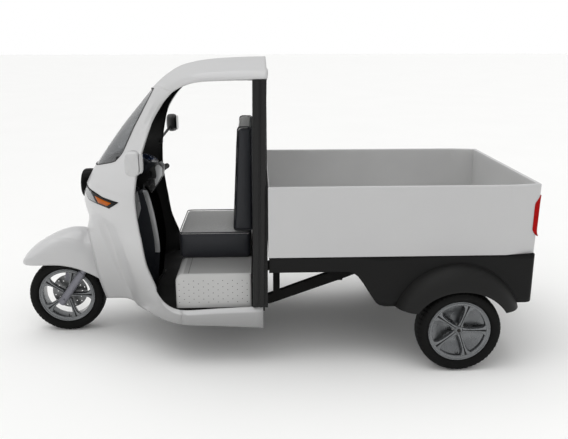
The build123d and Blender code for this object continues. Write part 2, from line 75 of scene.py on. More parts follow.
def smoothLine(points, steps):        # a centripetal spline through the points, steps pieces to each run
    points = [Vector(p) for p in points]
    ends = [points[0] * 2 - points[1]] + points + [points[-1] * 2 - points[-2]]
    line = []
    for i in range(len(points) - 1):
        p = ends[i:i + 4]
        t = [0.0]
        for a, b in zip(p, p[1:]):
            t.append(t[-1] + max((b - a).length, 1e-6) ** 0.5)
        for k in range(steps):
            u = mix(t[1], t[2], k / steps)
            a1 = mix(p[0], p[1], (u - t[0]) / (t[1] - t[0]))
            a2 = mix(p[1], p[2], (u - t[1]) / (t[2] - t[1]))
            a3 = mix(p[2], p[3], (u - t[2]) / (t[3] - t[2]))
            b1 = mix(a1, a2, (u - t[0]) / (t[2] - t[0]))
            b2 = mix(a2, a3, (u - t[1]) / (t[3] - t[1]))
            line.append(mix(b1, b2, (u - t[1]) / (t[2] - t[1])))
    return line + [points[-1]]


def newObject(name, data):
    thing = bpy.data.objects.new(name, data)
    bpy.context.scene.collection.objects.link(thing)
    return thing


def newPiece(name, points, faces, material):
    mesh = bpy.data.meshes.new(name)
    mesh.from_pydata([tuple(p) for p in points], [], faces)
    mesh.validate()
    mesh.materials.append(material)
    return newObject(name, mesh)


def pieceOf(bm, name, *materials):    # the object that a finished bmesh makes
    mesh = bpy.data.meshes.new(name)
    bm.to_mesh(mesh)
    bm.free()
    for material in materials:
        mesh.materials.append(material)
    return newObject(name, mesh)


def gridFaces(rows, columns, closedRows=False, closedColumns=False):
    faces = []
    for r in range(rows if closedRows else rows - 1):
        for c in range(columns if closedColumns else columns - 1):
            r2, c2 = (r + 1) % rows, (c + 1) % columns
            faces.append((r * columns + c, r * columns + c2, r2 * columns + c2, r2 * columns + c))
    return faces


def gridPiece(name, rows, material, closedRows=False, closedColumns=False):
    faces = gridFaces(len(rows), len(rows[0]), closedRows, closedColumns)
    return newPiece(name, [p for row in rows for p in row], faces, material)


def tidyMesh(piece, weld=0.00001, angle=35, outward=True):   # welded, facing out, sharp past the angle
    bm = bmesh.new()
    bm.from_mesh(piece.data)
    bmesh.ops.delete(bm, geom=[v for v in bm.verts if not v.link_faces], context="VERTS")
    bmesh.ops.remove_doubles(bm, verts=bm.verts, dist=weld)
    if outward:
        bmesh.ops.recalc_face_normals(bm, faces=bm.faces)
    bm.to_mesh(piece.data)
    bm.free()
    piece.data.shade_smooth()
    if angle:
        piece.data.set_sharp_from_angle(angle=math.radians(angle))
    return piece


def closeEnds(piece):                 # fills the open ends of a loft
    bm = bmesh.new()
    bm.from_mesh(piece.data)
    bmesh.ops.holes_fill(bm, edges=[e for e in bm.edges if e.is_boundary])
    bm.to_mesh(piece.data)
    bm.free()
    return piece


def loft(name, rows, material, angle):    # closed sections one after another, the ends filled
    return tidyMesh(closeEnds(gridPiece(name, rows, material, closedColumns=True)), angle=angle)


def applyModifiers(piece):
    depsgraph = bpy.context.evaluated_depsgraph_get()
    mesh = bpy.data.meshes.new_from_object(piece.evaluated_get(depsgraph))
    piece.modifiers.clear()
    piece.data = mesh
    return piece


def addModifier(piece, kind, **settings):
    modifier = piece.modifiers.new(kind.title(), kind)
    for key, value in settings.items():
        setattr(modifier, key, value)
    return modifier


def thicken(piece, wall, inner=None):    # wall in mm, inwards; inner is the material of the far face
    if inner:
        piece.data.materials.append(inner)
    addModifier(piece, "SOLIDIFY", thickness=wall / 1000, offset=-1,
                material_offset=1 if inner else 0, material_offset_rim=0)
    return piece


def secondFinish(piece, material, test):   # another material on the faces that pass the test
    piece.data.materials.append(material)
    for face in piece.data.polygons:
        if test(face):
            face.material_index = 1
    return piece


def joined(name, pieces):             # one object out of several, their materials kept
    bm = bmesh.new()
    materials = []
    for piece in pieces:
        start = len(bm.faces)
        places = []
        for material in piece.data.materials:
            if material not in materials:
                materials.append(material)
            places.append(materials.index(material))
        mesh = piece.data.copy()
        mesh.transform(piece.matrix_world)
        bm.from_mesh(mesh)
        bm.faces.ensure_lookup_table()
        for face in bm.faces[start:]:
            face.material_index = places[min(face.material_index, len(places) - 1)]
        bpy.data.meshes.remove(mesh)
        bpy.data.objects.remove(piece)
    return pieceOf(bm, name, *materials)


def copyOf(piece, name, place):
    twin = newObject(name, piece.data.copy())
    twin.data.transform(place)
    if place.determinant() < 0:
        twin.data.flip_normals()
    return twin


mirrored = Matrix.Diagonal((1, -1, 1, 1))    # across the middle of the vehicle


def settle(piece, slot, *replaced, body="vehicle_body"):    # rides on its body and stands for CAD nodes; slot is not used
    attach(piece, body)
    if replaced:
        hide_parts(*replaced)
    return piece


def tubePiece(name, line, radius, material, sides=16, closed=False):   # radius in metres, one or one a point
    line = [Vector(p) for p in line]
    radii = radius if isinstance(radius, list) else [radius] * len(line)
    last = len(line) - 1
    rows = []
    side = None
    for i, p in enumerate(line):
        before = line[i - 1] if i or closed else p
        after = line[(i + 1) % len(line)] if i < last or closed else p
        along = (after - before).normalized()
        if side is None:
            side = along.cross(Vector((0, 0, 1)) if abs(along.z) < 0.9 else Vector((1, 0, 0))).normalized()
        side = (side - along * side.dot(along)).normalized()
        up = along.cross(side)
        rows.append([p + (side * math.cos(a) + up * math.sin(a)) * radii[i] for a in ringTurns(sides)])
    piece = gridPiece(name, rows, material, closedRows=closed, closedColumns=True)
    return tidyMesh(piece if closed else closeEnds(piece), angle=50)


def lathePiece(name, profile, material, steps=96, centre=(0, 0, 0), axis="Y", angle=35, wobble=None):
    points = []                       # profile points are (radius, place along the axis), in metres
    for i, a in enumerate(ringTurns(steps)):
        for k, (r, y) in enumerate(profile):
            r = wobble(i, k, r) if wobble else r
            across, up = r * math.cos(a), r * math.sin(a)
            points.append(Vector((across, y, up) if axis == "Y" else (y, across, up)) + Vector(centre))
    faces = gridFaces(steps, len(profile), closedRows=True)
    return tidyMesh(newPiece(name, points, faces, material), angle=angle)


def softBox(name, low, high, radius, material, segments=4):
    bm = bmesh.new()
    bmesh.ops.create_cube(bm, size=1)
    low, high = Vector(low), Vector(high)
    for v in bm.verts:
        v.co = Vector((mix(low[i], high[i], v.co[i] + 0.5) for i in range(3)))
    bmesh.ops.bevel(bm, geom=bm.edges[:], offset=radius, segments=segments, profile=0.5, affect="EDGES",
                    clamp_overlap=True)
    return tidyMesh(pieceOf(bm, name, material), angle=40)


# nodes and colours
def linear(hexColour):                # sRGB hex to the linear colour that the shaders take
    values = [int(hexColour[i:i + 2], 16) / 255 for i in (1, 3, 5)]
    return tuple(v / 12.92 if v <= 0.04045 else ((v + 0.055) / 1.055) ** 2.4 for v in values) + (1,)


def addNode(tree, kind, inputs=None, **settings):
    node = tree.nodes.new(kind)
    for key, value in settings.items():
        setattr(node, key, value)
    for socket, value in (inputs or {}).items():
        if isinstance(value, bpy.types.NodeSocket):
            tree.links.new(value, node.inputs[socket])
        else:
            node.inputs[socket].default_value = value
    return node


def newMaterial(name):                # a bare material, its node tree, and the object's own coordinates in metres
    material = bpy.data.materials.new(name)
    material.use_nodes = True
    tree = material.node_tree
    tree.nodes.clear()
    return material, tree, addNode(tree, "ShaderNodeTexCoord").outputs["Object"]


def blend(tree, share, first, second):    # between two colours, each a hex or a socket
    ends = [linear(c) if isinstance(c, str) else c for c in (first, second)]
    return addNode(tree, "ShaderNodeMix", {0: share, 6: ends[0], 7: ends[1]}, data_type="RGBA").outputs[2]


def ranged(tree, value, low, high, fromLow=0.0, fromHigh=1.0):
    return addNode(tree, "ShaderNodeMapRange", {"Value": value, "From Min": fromLow, "From Max": fromHigh,
                                                "To Min": low, "To Max": high}).outputs[0]


def relief(tree, height, strength, distance):    # distance in metres
    bump = {"Height": height, "Strength": strength, "Distance": distance}
    return addNode(tree, "ShaderNodeBump", bump).outputs["Normal"]


def shaded(tree, inputs):             # the surface shader, wired to the output
    shader = addNode(tree, "ShaderNodeBsdfPrincipled", inputs)
    addNode(tree, "ShaderNodeOutputMaterial", {"Surface": shader.outputs[0]})
    return shader


# camera, floor and light
stageLook = {
    "cameraSpot": (1239.6, -4192.8, 1865.7),        # mm: behind the front axle, to the side, above the ground
    "turn": 2.166, "tilt": 15.305, "roll": -0.06,   # degrees
    "lens": 43.15, "film": 36,                      # mm
    "farthest": 200, "floorHalf": 60,               # metres
    "floorHexes": ("#F7F7F6", "#FAFAF9"), "floorMottle": 0.8,
    "sky": 0.94, "horizon": 0.49, "glossySky": 0.60,
    "sunPower": 0.9, "sunSpread": 60, "sunFrom": (-0.30, 0.05, 1.0),
    "frontLamp": 13, "lampSize": 2.6, "lampSpot": (-4.6, -1.6, 3.2), "lampAim": (-0.8, 0, 0.9),
}

cameraData = bpy.data.cameras.new("camera")
cameraData.lens = stageLook["lens"]
cameraData.sensor_width = stageLook["film"]
cameraData.clip_end = stageLook["farthest"]
camera = newObject("camera", cameraData)
turn, tilt, roll = (math.radians(stageLook[k]) for k in ("turn", "tilt", "roll"))
camera.matrix_world = (Matrix.Translation(at(*stageLook["cameraSpot"])) @ Matrix.Rotation(-turn, 4, "Z")
                       @ Matrix.Rotation(math.pi / 2 - tilt, 4, "X") @ Matrix.Rotation(roll, 4, "Z"))
bpy.context.scene.camera = camera
bpy.context.scene.view_settings.view_transform = "Standard"

world = bpy.data.worlds.new("studio")     # a dome that dims towards the horizon, plain white to the camera
bpy.context.scene.world = world
world.use_nodes = True
tree = world.node_tree
tree.nodes.clear()
rays = addNode(tree, "ShaderNodeLightPath")
seen = addNode(tree, "ShaderNodeMath", {0: rays.outputs["Is Camera Ray"], 1: rays.outputs["Is Transmission Ray"]},
               operation="MAXIMUM")
aim = addNode(tree, "ShaderNodeTexCoord")
height = addNode(tree, "ShaderNodeSeparateXYZ", {"Vector": aim.outputs["Generated"]})
dome = ranged(tree, height.outputs["Z"], stageLook["horizon"], stageLook["sky"])
level = ranged(tree, seen.outputs[0], dome, 1.0)
glossy = ranged(tree, rays.outputs["Is Glossy Ray"], level, stageLook["glossySky"])
sky = addNode(tree, "ShaderNodeBackground", {"Color": (1, 1, 1, 1), "Strength": glossy})
addNode(tree, "ShaderNodeOutputWorld", {"Surface": sky.outputs[0]})

# matt white paper with the faintest mottle, so the ground stays quiet under the wheels
floorPaint, tree, spot = newMaterial("studio_floor")
mottle = addNode(tree, "ShaderNodeTexNoise", {"Vector": spot, "Scale": stageLook["floorMottle"], "Detail": 2.0})
paper = blend(tree, mottle.outputs["Fac"], *stageLook["floorHexes"])
dull = addNode(tree, "ShaderNodeBsdfDiffuse", {"Color": paper, "Roughness": 0.5})
addNode(tree, "ShaderNodeOutputMaterial", {"Surface": dull.outputs[0]})
reach = stageLook["floorHalf"]
floorCorners = [(-reach, -reach, 0), (reach, -reach, 0), (reach, reach, 0), (-reach, reach, 0)]
newPiece("studio_floor", floorCorners, [(0, 1, 2, 3)], floorPaint)

sunData = bpy.data.lights.new("overhead_softbox", "SUN")
sunData.energy = stageLook["sunPower"]
sunData.angle = math.radians(stageLook["sunSpread"])
sun = newObject("overhead_softbox", sunData)
sun.rotation_euler = Vector(stageLook["sunFrom"]).to_track_quat("Z", "Y").to_euler()
lampData = bpy.data.lights.new("front_softbox", "AREA")
lampData.shape = "SQUARE"
lampData.size = stageLook["lampSize"]
lampData.energy = stageLook["frontLamp"]
frontLamp = newObject("front_softbox", lampData)
frontLamp.location = stageLook["lampSpot"]
frontLamp.rotation_euler = (Vector(stageLook["lampAim"]) - frontLamp.location).to_track_quat("-Z", "Y").to_euler()
print("stage set")


# finishes: every pattern size is in millimetres
def grained(name, hexes, rough, grain, depth, patch=160, metallic=0.0, coat=0.0, coatRough=0.05,
            stretch=(1, 1, 1), roughSpan=0.06, specular=0.5):   # grain, relief depth and colour patches
    material, tree, spot = newMaterial(name)
    lay = addNode(tree, "ShaderNodeMapping", {"Vector": spot, "Scale": stretch}).outputs[0]
    cloud = addNode(tree, "ShaderNodeTexNoise", {"Vector": spot, "Scale": 1000 / patch, "Detail": 3.0}).outputs["Fac"]
    fine = addNode(tree, "ShaderNodeTexNoise", {"Vector": lay, "Scale": 1000 / grain, "Detail": 4.0, "Roughness": 0.6})
    shaded(tree, {"Base Color": blend(tree, cloud, *hexes), "Metallic": metallic, "IOR": 1.5,
                  "Roughness": ranged(tree, cloud, rough - roughSpan, rough + roughSpan, 0.3, 0.7),
                  "Coat Weight": coat, "Coat Roughness": coatRough, "Specular IOR Level": specular,
                  "Normal": relief(tree, fine.outputs["Fac"], 0.6, depth / 1000)})
    return material


# two-pack gloss enamel on pressed sheet: near white, wet shine, a faint orange peel 3 mm across
glossEnamel = {"patch": 420, "coat": 0.35, "coatRough": 0.06, "roughSpan": 0.03}
bodyEnamel = grained("body_enamel", ("#C3C3C4", "#C9C9C9"), 0.34, 3.2, 0.03, **glossEnamel)
# the cab's coat of it with painted shade: grey blended in towards the hem on steep faces, the tops of ledges left at
# the enamel's colour
paintedShadeLook = {"low": 0.18, "high": 0.76, "ledge": (0.2, 0.5), "hex": "#949494"}   # heights in metres
cabEnamelPaintedShade = grained("cab_enamel_painted_low_shade", ("#C5C5C6", "#CBCBCB"), 0.34, 3.2, 0.03, **glossEnamel)
tree = cabEnamelPaintedShade.node_tree
coat = next(n for n in tree.nodes if n.type == "BSDF_PRINCIPLED").inputs["Base Color"]
spot = addNode(tree, "ShaderNodeTexCoord").outputs["Object"]
axes = addNode(tree, "ShaderNodeSeparateXYZ", {"Vector": spot})
lie = addNode(tree, "ShaderNodeNewGeometry")
tilts = addNode(tree, "ShaderNodeSeparateXYZ", {"Vector": lie.outputs["Normal"]})
# painted shade: more grey lower down and on steeper faces
height = ranged(tree, axes.outputs["Z"], 1.0, 0.0, paintedShadeLook["low"], paintedShadeLook["high"])
steep = ranged(tree, tilts.outputs["Z"], 1.0, 0.0, *paintedShadeLook["ledge"])
share = addNode(tree, "ShaderNodeMath", {0: height, 1: steep}, operation="MULTIPLY")
tree.links.new(blend(tree, share.outputs[0], coat.links[0].from_socket, paintedShadeLook["hex"]), coat)
# the same enamel thinner and rubbed dull by loads inside the bed
bedEnamel = grained("bed_inside_enamel", ("#C0C0C0", "#CBCBCA"), 0.46, 5, 0.05, patch=260, coat=0.1, coatRough=0.2)
# textured ABS, moulded: near black, spark-eroded grain about 1.4 mm that breaks the shine
skirtAbs = grained("skirt_moulded_abs", ("#0F0F0F", "#141414"), 0.46, 1.4, 0.08, patch=300, specular=0.18)
# polypropylene arches, moulded: a shade greyer and softer than the skirts
flarePolypropylene = grained("arch_polypropylene", ("#191919", "#1F1F1E"), 0.5, 1.8, 0.08, patch=220, specular=0.22)
# the door pillars: a finer grain with a satin edge of light
pillarAbs = grained("pillar_satin_abs", ("#121212", "#181818"), 0.36, 1.2, 0.05, patch=240, specular=0.3)
# the cab's inside: deep black and dull, so the doorway reads as a dark opening
liningAbs = grained("lining_moulded_abs", ("#070707", "#0C0C0C"), 0.6, 1.6, 0.1, patch=200, specular=0.12)
# flocked face towards the driver, no shine at all
backAbs = grained("leg_shield_back_felt", ("#050505", "#090909"), 0.95, 1.0, 0.2, specular=0.0)
# extruded rubber: a dull line round the glass
sealRubber = grained("seal_epdm_rubber", ("#0E0E0E", "#171716"), 0.66, 1.0, 0.05)
# powder coat on folded steel: soft white with a shallow shine
seatBoxSteel = grained("seat_box_powder_coat", ("#BDBDBC", "#C6C6C5"), 0.42, 1.6, 0.05, patch=200, coat=0.12,
                       coatRough=0.2)
# pressed felt that throws light back down
headliningFelt = grained("headlining_pale_felt", ("#D6D6D4", "#E0E0DE"), 0.9, 0.9, 0.2, patch=120, specular=0.1)
# painted shade on the box's top under the seat: a greyer copy of its powder coat
seatLidPaintedShade = grained("seat_box_lid_painted_shade", ("#A2A2A1", "#ABABAA"), 0.46, 1.6, 0.06)
# black enamel, brushed on and patchy, kept near black as painted shade so the underside stays dark
chassisBlackAndShade = grained("chassis_black_enamel_and_painted_shade", ("#0A0A0A", "#12110F"), 0.6, 3, 0.1, patch=90, specular=0.15)
# sand cast skin, rough and brown-grey
axleIron = grained("axle_cast_iron", ("#2A2927", "#383633"), 0.62, 2.4, 0.35, patch=60, metallic=0.55)
# rolled strip, streaked along its length
springSteel = grained("spring_rolled_steel", ("#2E2C2A", "#46413B"), 0.5, 1.5, 0.1, patch=40, metallic=0.7,
                      stretch=(0.2, 1, 1))
# leg shield and pod: blue-black, fine grain
shieldAbs = grained("shield_navy_abs", ("#23262C", "#2A2D33"), 0.4, 1.2, 0.06, patch=220)
# painted trim: the one bright accent inside the cab
trimSilver = grained("trim_silver_abs", ("#C2C3C5", "#CFD0D1"), 0.33, 1.0, 0.02, metallic=0.35, coat=0.2)
# fork legs: grey paint over cast aluminium
forkAluminium = grained("fork_painted_aluminium", ("#76767E", "#82828A"), 0.36, 1.2, 0.04, metallic=0.5, coat=0.2)
# clear lacquer over cast spokes, bright on their edges
rimAluminium = grained("rim_cast_aluminium", ("#6C6E70", "#808284"), 0.27, 2.0, 0.05, patch=70, metallic=0.85,
                       coat=0.25)
# painted shade in the grooves of the spokes: dark grey, left dull
rimShade = grained("rim_groove_painted_shade", ("#2A2B2C", "#343536"), 0.45, 2.0, 0.05, metallic=0.5)
# plated bolts, faintly yellow
zincSteel = grained("zinc_plated_bolts", ("#8B8A84", "#A09E96"), 0.34, 0.8, 0.03, patch=12, metallic=0.9)
# powder coated bar and levers: black, half matt
barSteel = grained("bar_black_powder_coat", ("#151515", "#1C1C1C"), 0.4, 1.0, 0.04)
# soft grips, dull
gripRubber = grained("grip_soft_rubber", ("#101010", "#181818"), 0.72, 1.4, 0.15)
# floor mat: pebbled, scuffed in patches
matRubber = grained("floor_mat_rubber", ("#0E0E0E", "#151515"), 0.62, 2.2, 0.15, patch=120, specular=0.2)
# pedal pad, worn in small spots
pedalRubber = grained("pedal_rubber", ("#161616", "#222120"), 0.7, 1.4, 0.15, patch=30)
# battery case: blue-grey, in the shadow under the seat
batteryCase = grained("battery_polypropylene", ("#1B1D20", "#24262A"), 0.5, 1.6, 0.1)
# lamp bezels: black and glossy, yet dark to the eye
bezelGloss = grained("lamp_bezel_gloss", ("#070707", "#0B0B0B"), 0.14, 4, 0.01, roughSpan=0.02, specular=0.06)
# metallised bowls behind the lenses
reflectorChrome = grained("lamp_reflector_chrome", ("#8C8D8F", "#A3A4A5"), 0.16, 6, 0.08, metallic=1.0,
                          roughSpan=0.04)
# vulcanised, with a fine mould skin
tyreRubber = grained("tyre_rubber", ("#0B0B0B", "#121211"), 0.66, 1.6, 0.18, patch=70, specular=0.15)
# bare sheet, lightly brushed
plateAluminium = grained("blank_plate_aluminium", ("#B4B5B6", "#C2C3C3"), 0.35, 1.2, 0.03, metallic=0.7)
# the dial's screen: deep blue under clear plastic
dialNavy = grained("dial_navy_screen", ("#011B40", "#022755"), 0.14, 3, 0.01, coat=0.5, roughSpan=0.02)
# printed marks on the dial
dialMark = grained("dial_printed_white", ("#D8DCE0", "#E6E8EA"), 0.4, 2, 0.01)
# grey of a 5 mm hole in lit sheet
ventShade = grained("vent_hole_shade", ("#3C3C3C", "#484848"), 0.7, 1.0, 0.02)


def lens(name, hexes, rib):           # coloured plastic over a reflector, moulded ribs of that width
    material, tree, spot = newMaterial(name)
    wave = {"Vector": spot, "Scale": 100 * math.pi / rib, "Distortion": 0.0}
    ribs = addNode(tree, "ShaderNodeTexWave", wave, bands_direction="Z").outputs["Fac"]
    shaded(tree, {"Base Color": blend(tree, ribs, *hexes), "Roughness": 0.08, "IOR": 1.49,
                  "Specular IOR Level": 0.05, "Normal": relief(tree, ribs, 0.35, 0.001)})
    return material


amberLens = lens("amber_acrylic_lens", ("#AE5608", "#BA5E0E"), 7)       # acrylic: orange, 7 mm ribs
redLens = lens("red_acrylic_lens", ("#9E0A0A", "#AE1010"), 9)           # acrylic: red, 9 mm ribs


def glass(name, hexColour, wash=0.0):    # wash lightens it with the dull film that a tint layer gives
    material, tree, spot = newMaterial(name)
    film = addNode(tree, "ShaderNodeTexNoise", {"Vector": spot, "Scale": 6.0, "Detail": 2.0})
    shaded(tree, {"Base Color": linear(hexColour), "Roughness": ranged(tree, film.outputs["Fac"], 0.02, 0.05),
                  "IOR": 1.45, "Transmission Weight": 1.0 - wash})
    return material


# laminated, with a smoke tint: pale high up, dark over the cowl
screenGlass = glass("windscreen_tinted_glass", "#A9ABAD", wash=0.12)
rearGlass = glass("rear_window_glass", "#C4C8C8")       # plain toughened glass, a touch green-grey
lampGlass = glass("lamp_polycarbonate", "#E8E8E8")      # clear moulded cover, bright at its rim


def mirrorFinish():                   # silvered glass with a clean reflection, its colour kept dark as a painted reflection of dark tarmac
    material, tree, spot = newMaterial("mirror_silvered_glass")
    haze = addNode(tree, "ShaderNodeTexNoise", {"Vector": spot, "Scale": 30.0})
    shaded(tree, {"Base Color": linear("#3A3D40"), "Metallic": 0.9,
                  "Roughness": ranged(tree, haze.outputs["Fac"], 0.02, 0.07)})
    return material


def vinyl(name, hexes, crease, pebble, rough):    # coated seat vinyl: a pebble grain with darker creases
    material, tree, spot = newMaterial(name)
    cells = addNode(tree, "ShaderNodeTexVoronoi", {"Vector": spot, "Scale": 1000 / pebble}, feature="DISTANCE_TO_EDGE")
    cloud = addNode(tree, "ShaderNodeTexNoise", {"Vector": spot, "Scale": 7.0, "Detail": 4.0})
    rise = ranged(tree, cells.outputs["Distance"], 0.0, 1.0, 0.0, 0.25)
    skin = blend(tree, cloud.outputs["Fac"], *hexes)
    shaded(tree, {"Base Color": blend(tree, rise, crease, skin), "Roughness": rough, "IOR": 1.5,
                  "Sheen Weight": 0.08, "Normal": relief(tree, rise, 0.5, 0.0004)})
    return material


def discFinish():                     # stainless brake disc: ring-turned, fine streaks round the hub
    material, tree, spot = newMaterial("disc_ground_steel")
    hub = addNode(tree, "ShaderNodeMapping", {"Vector": spot, "Location": (-axleX, 0, -hubHeight / 1000)})
    flat = addNode(tree, "ShaderNodeVectorMath", {0: hub.outputs[0], 1: (1, 0, 1)}, operation="MULTIPLY")
    away = addNode(tree, "ShaderNodeVectorMath", {0: flat.outputs[0]}, operation="LENGTH")
    rings = addNode(tree, "ShaderNodeTexNoise", {"Vector": away.outputs["Value"], "Scale": 900.0, "Detail": 2.0})
    streaks = rings.outputs["Fac"]
    shaded(tree, {"Base Color": blend(tree, streaks, "#6A6B6C", "#8E8F90"), "Metallic": 0.9, "Roughness": 0.36,
                  "Normal": relief(tree, streaks, 0.3, 0.0003)})
    return material


mirrorGlass, discSteel = mirrorFinish(), discFinish()
navyVinyl = vinyl("seat_navy_vinyl", ("#22252C", "#2A2D35"), "#1A1C22", 3.0, 0.42)     # sides: blue-black, soft grain
greyVinyl = vinyl("seat_grey_vinyl", ("#DCDCDB", "#E4E4E3"), "#B0B0AF", 5.0, 0.5)      # top: pale embossed pebble

# CAD nodes that keep their shape and take a finish; a name without its side stands for both
nodeFinish = {
    "chassis_frame": chassisBlackAndShade, "rear_axle": axleIron, "leaf_spring": springSteel, "cab_front_shell": bodyEnamel,
    "cab_roof": bodyEnamel, "cab_liner": liningAbs, "windscreen": screenGlass, "cab_floor": matRubber,
    "wheel_housing": liningAbs, "cab_rear_panel": pillarAbs, "rear_window": rearGlass, "sill": bodyEnamel,
    "door_pillar": pillarAbs, "mirror": bodyEnamel, "nose_lamp": bezelGloss, "corner_lamp": bezelGloss,
    "console": shieldAbs, "seat_box": seatBoxSteel, "battery_pack": batteryCase, "seat_cushion": navyVinyl,
    "seat_backrest": navyVinyl, "brake_pedal": pedalRubber, "load_bed": bodyEnamel, "bed_skirt": skirtAbs,
    "rear_bumper": skirtAbs, "arch_flare": flarePolypropylene, "tail_lamp": redLens, "fork": forkAluminium,
    "handlebar": barSteel, "instrument_pod": shieldAbs, "front_mudguard": bodyEnamel, "brake_caliper": forkAluminium,
    "front_rim": rimAluminium, "front_tyre": tyreRubber, "front_brake_disc": discSteel, "rear_rim": rimAluminium,
    "rear_tyre": tyreRubber}
for name, node in nodes.items():
    finish = nodeFinish[name.removesuffix("_left").removesuffix("_right")]
    for place in node.material_slots:
        place.material = finish
print("finishes made")


# cab skin
cabSkin = {
    "steps": 5,                           # mesh steps between two rows, and between two columns
    "flange": 14, "sillFlange": 20,       # how far the edges turn in
    "liningDepth": 15, "liningWall": 3,   # lining behind the skin
    "headlining": (1190, 1570),           # pale ahead of that station and above that height
    "shares": (0, 0.42, 0.76, 0.92), "bow": 2.1,    # columns from the centre out to the wing, and how they bow
    "bevel": (13, 4),                     # the door edge's bevel: along the side and outward
    "weld": 0.0001, "onFold": 0.0002,     # metres: points taken for one, and for points on a fold
}
# Rows run from the back end of the sill, round the low corner of the door, up the pillar and back along the roof.
# The right side mirrors it, and the side panel bulges by the last number.
#           centre       ridge or glass edge    crease or hem          door edge               bulge
skinRows = [(None,        None,                  (1257, 600, 241),      (1257, 592, 372),       0),
            (None,        None,                  (1002, 600, 256),      (1002, 592, 361),       0),
            (None,        None,                  (791, 600, 270),       (793, 592, 355),        0),
            (None,        None,                  (692, 590, 298),       (738, 592, 374),        0),
            (None,        None,                  (604, 535, 322),       (700, 592, 405),        0),
            (None,        (440, 318, 322),       (486, 352, 318),       (672, 592, 447),        9),
            (None,        (418, 319, 400),       (462, 351, 400),       (653, 592, 490),        11),
            (None,        (395, 319, 474),       (436, 350, 483),       (635, 591, 540),        13),
            (None,        (350, 316, 590),       (404, 350, 600),       (608, 590, 617),        14),
            (None,        (320, 315, 685),       (384, 349, 695),       (593, 590, 706),        14),
            ((186, 758),  (300, 317, 757),       (360, 344, 765),       (585, 590, 772),        14),
            ((179, 795),  (287, 312, 806),       (338, 338, 812),       (578, 590, 815),        14),
            ((169, 838),  None,                  (322, 330, 850),       (574, 590, 852),        14),
            ((161, 885),  None,                  (313, 324, 897),       (568, 588, 900),        14),
            ((166, 930),  None,                  (300, 318, 948),       (564, 584, 950),        14),
            ((184, 985),  None,                  (292, 314, 1000),      (562, 579, 1003),       14),
            ((211, 1040), None,                  (335, 321, 1063),      (566, 558, 1068),       12),
            ((231, 1076), None,                  (393, 328, 1129),      (573, 524, 1133),       10),
            ((246, 1099), (424, 331, 1164),      (450, 340, 1183),      (584, 488, 1190),       8),
            ((288, 1160), (462, 330, 1203),      (490, 356, 1217),      (592, 462, 1223),       7),
            ((352, 1247), (500, 323, 1276),      (537, 360, 1285),      (612, 418, 1290),       5),
            ((420, 1335), (540, 313, 1358),      (587, 355, 1362),      (640, 372, 1365),       3),
            ((480, 1405), (573, 304, 1417),      (618, 345, 1420),      (662, 349, 1412),       3),
            ((535, 1468), (604, 297, 1474),      (648, 338, 1474),      (695, 345, 1465),       3),
            ((585, 1525), (637, 290, 1533),      (684, 344, 1530),      (735, 390, 1517),       4),
            ((612, 1554), (657, 288, 1567),      (705, 354, 1559),      (761, 425, 1546),       5),
            ((650, 1592), None,                  (738, 380, 1590),      (793, 468, 1570),       7),
            ((694, 1628), None,                  (776, 418, 1618),      (828, 510, 1591),       9),
            ((772, 1677), None,                  (838, 466, 1649),      (882, 550, 1612),       12),
            ((856, 1702), None,                  (905, 500, 1670),      (944, 578, 1625),       15),
            ((960, 1717), None,                  (1000, 515, 1681),     (1030, 594, 1631),      16),
            ((1080, 1725), None,                 (1100, 522, 1687),     (1110, 603, 1635),      16),
            ((1200, 1730), None,                 (1205, 524, 1691),     (1205, 608, 1637),      16),
            ((1287, 1731), None,                 (1287, 524, 1692),     (1287, 610, 1639),      16)]
# row: wing point, at the front edge of the wheel opening
wingPoints = {5: (300, 250, 299), 6: (276, 250, 375), 7: (254, 250, 462), 8: (238, 250, 590), 9: (224, 250, 680),
              10: (219, 250, 750), 11: (236, 250, 796)}
# row: side bulge point and bevel point, along the sill and its corner
sillPoints = {0: ((1257, 612, 300), (1257, 612, 344)), 1: ((1002, 612, 300), (1002, 612, 338)),
              2: ((795, 612, 304), (800, 612, 334)), 3: ((718, 608, 330), (742, 611, 352)),
              4: ((655, 578, 362), (694, 607, 388)), 5: ((578, 488, 378), (664, 602, 438))}
chinRow, glassFrom, glassTo, wingFrom = 10, 18, 25, 5


def skinPoint(row, number):           # the eight points of a row, from the centre line out to the door edge
    centre, ridge, crease, edge, bulge = row
    crease, edge = Vector(crease), Vector(edge)
    points = [None] * 4
    if centre:
        middle = Vector((centre[0], 0, centre[1]))
        inPane = glassFrom <= number <= glassTo
        limit = Vector(ridge) if inPane else crease
        for k, share in enumerate(cabSkin["shares"][:3] + (1.0,) if inPane else cabSkin["shares"]):
            bow = share ** cabSkin["bow"]
            points[k] = Vector((mix(middle.x, limit.x, bow), limit.y * share, mix(middle.z, limit.z, bow)))
        if ridge:
            points[3] = Vector(ridge)
    if number in wingPoints:
        points[2] = Vector(wingPoints[number])
        points[3] = Vector(ridge)
    if number in sillPoints:
        side, bevel = (Vector(p) for p in sillPoints[number])
    else:
        half = (crease + edge) / 2
        inside = Vector((950, 0, min(half.z, 1250)))     # a point within the cab that "out" points away from
        run = (edge - crease).normalized()
        out = half - inside
        out = (out - run * out.dot(run)).normalized()
        side = half + out * bulge
        bevel = edge + (side - edge).normalized() * cabSkin["bevel"][0] + out * cabSkin["bevel"][1]
    return points + [crease, side, bevel, edge]


skinNet = [skinPoint(row, number) for number, row in enumerate(skinRows)]


def denseColumn(column):             # one column followed through all its rows; None where it doesn't exist
    first = next(i for i, points in enumerate(skinNet) if points[column] is not None)
    line = smoothLine([points[column] for points in skinNet[first:]], cabSkin["steps"])
    return [None] * (first * cabSkin["steps"]) + line


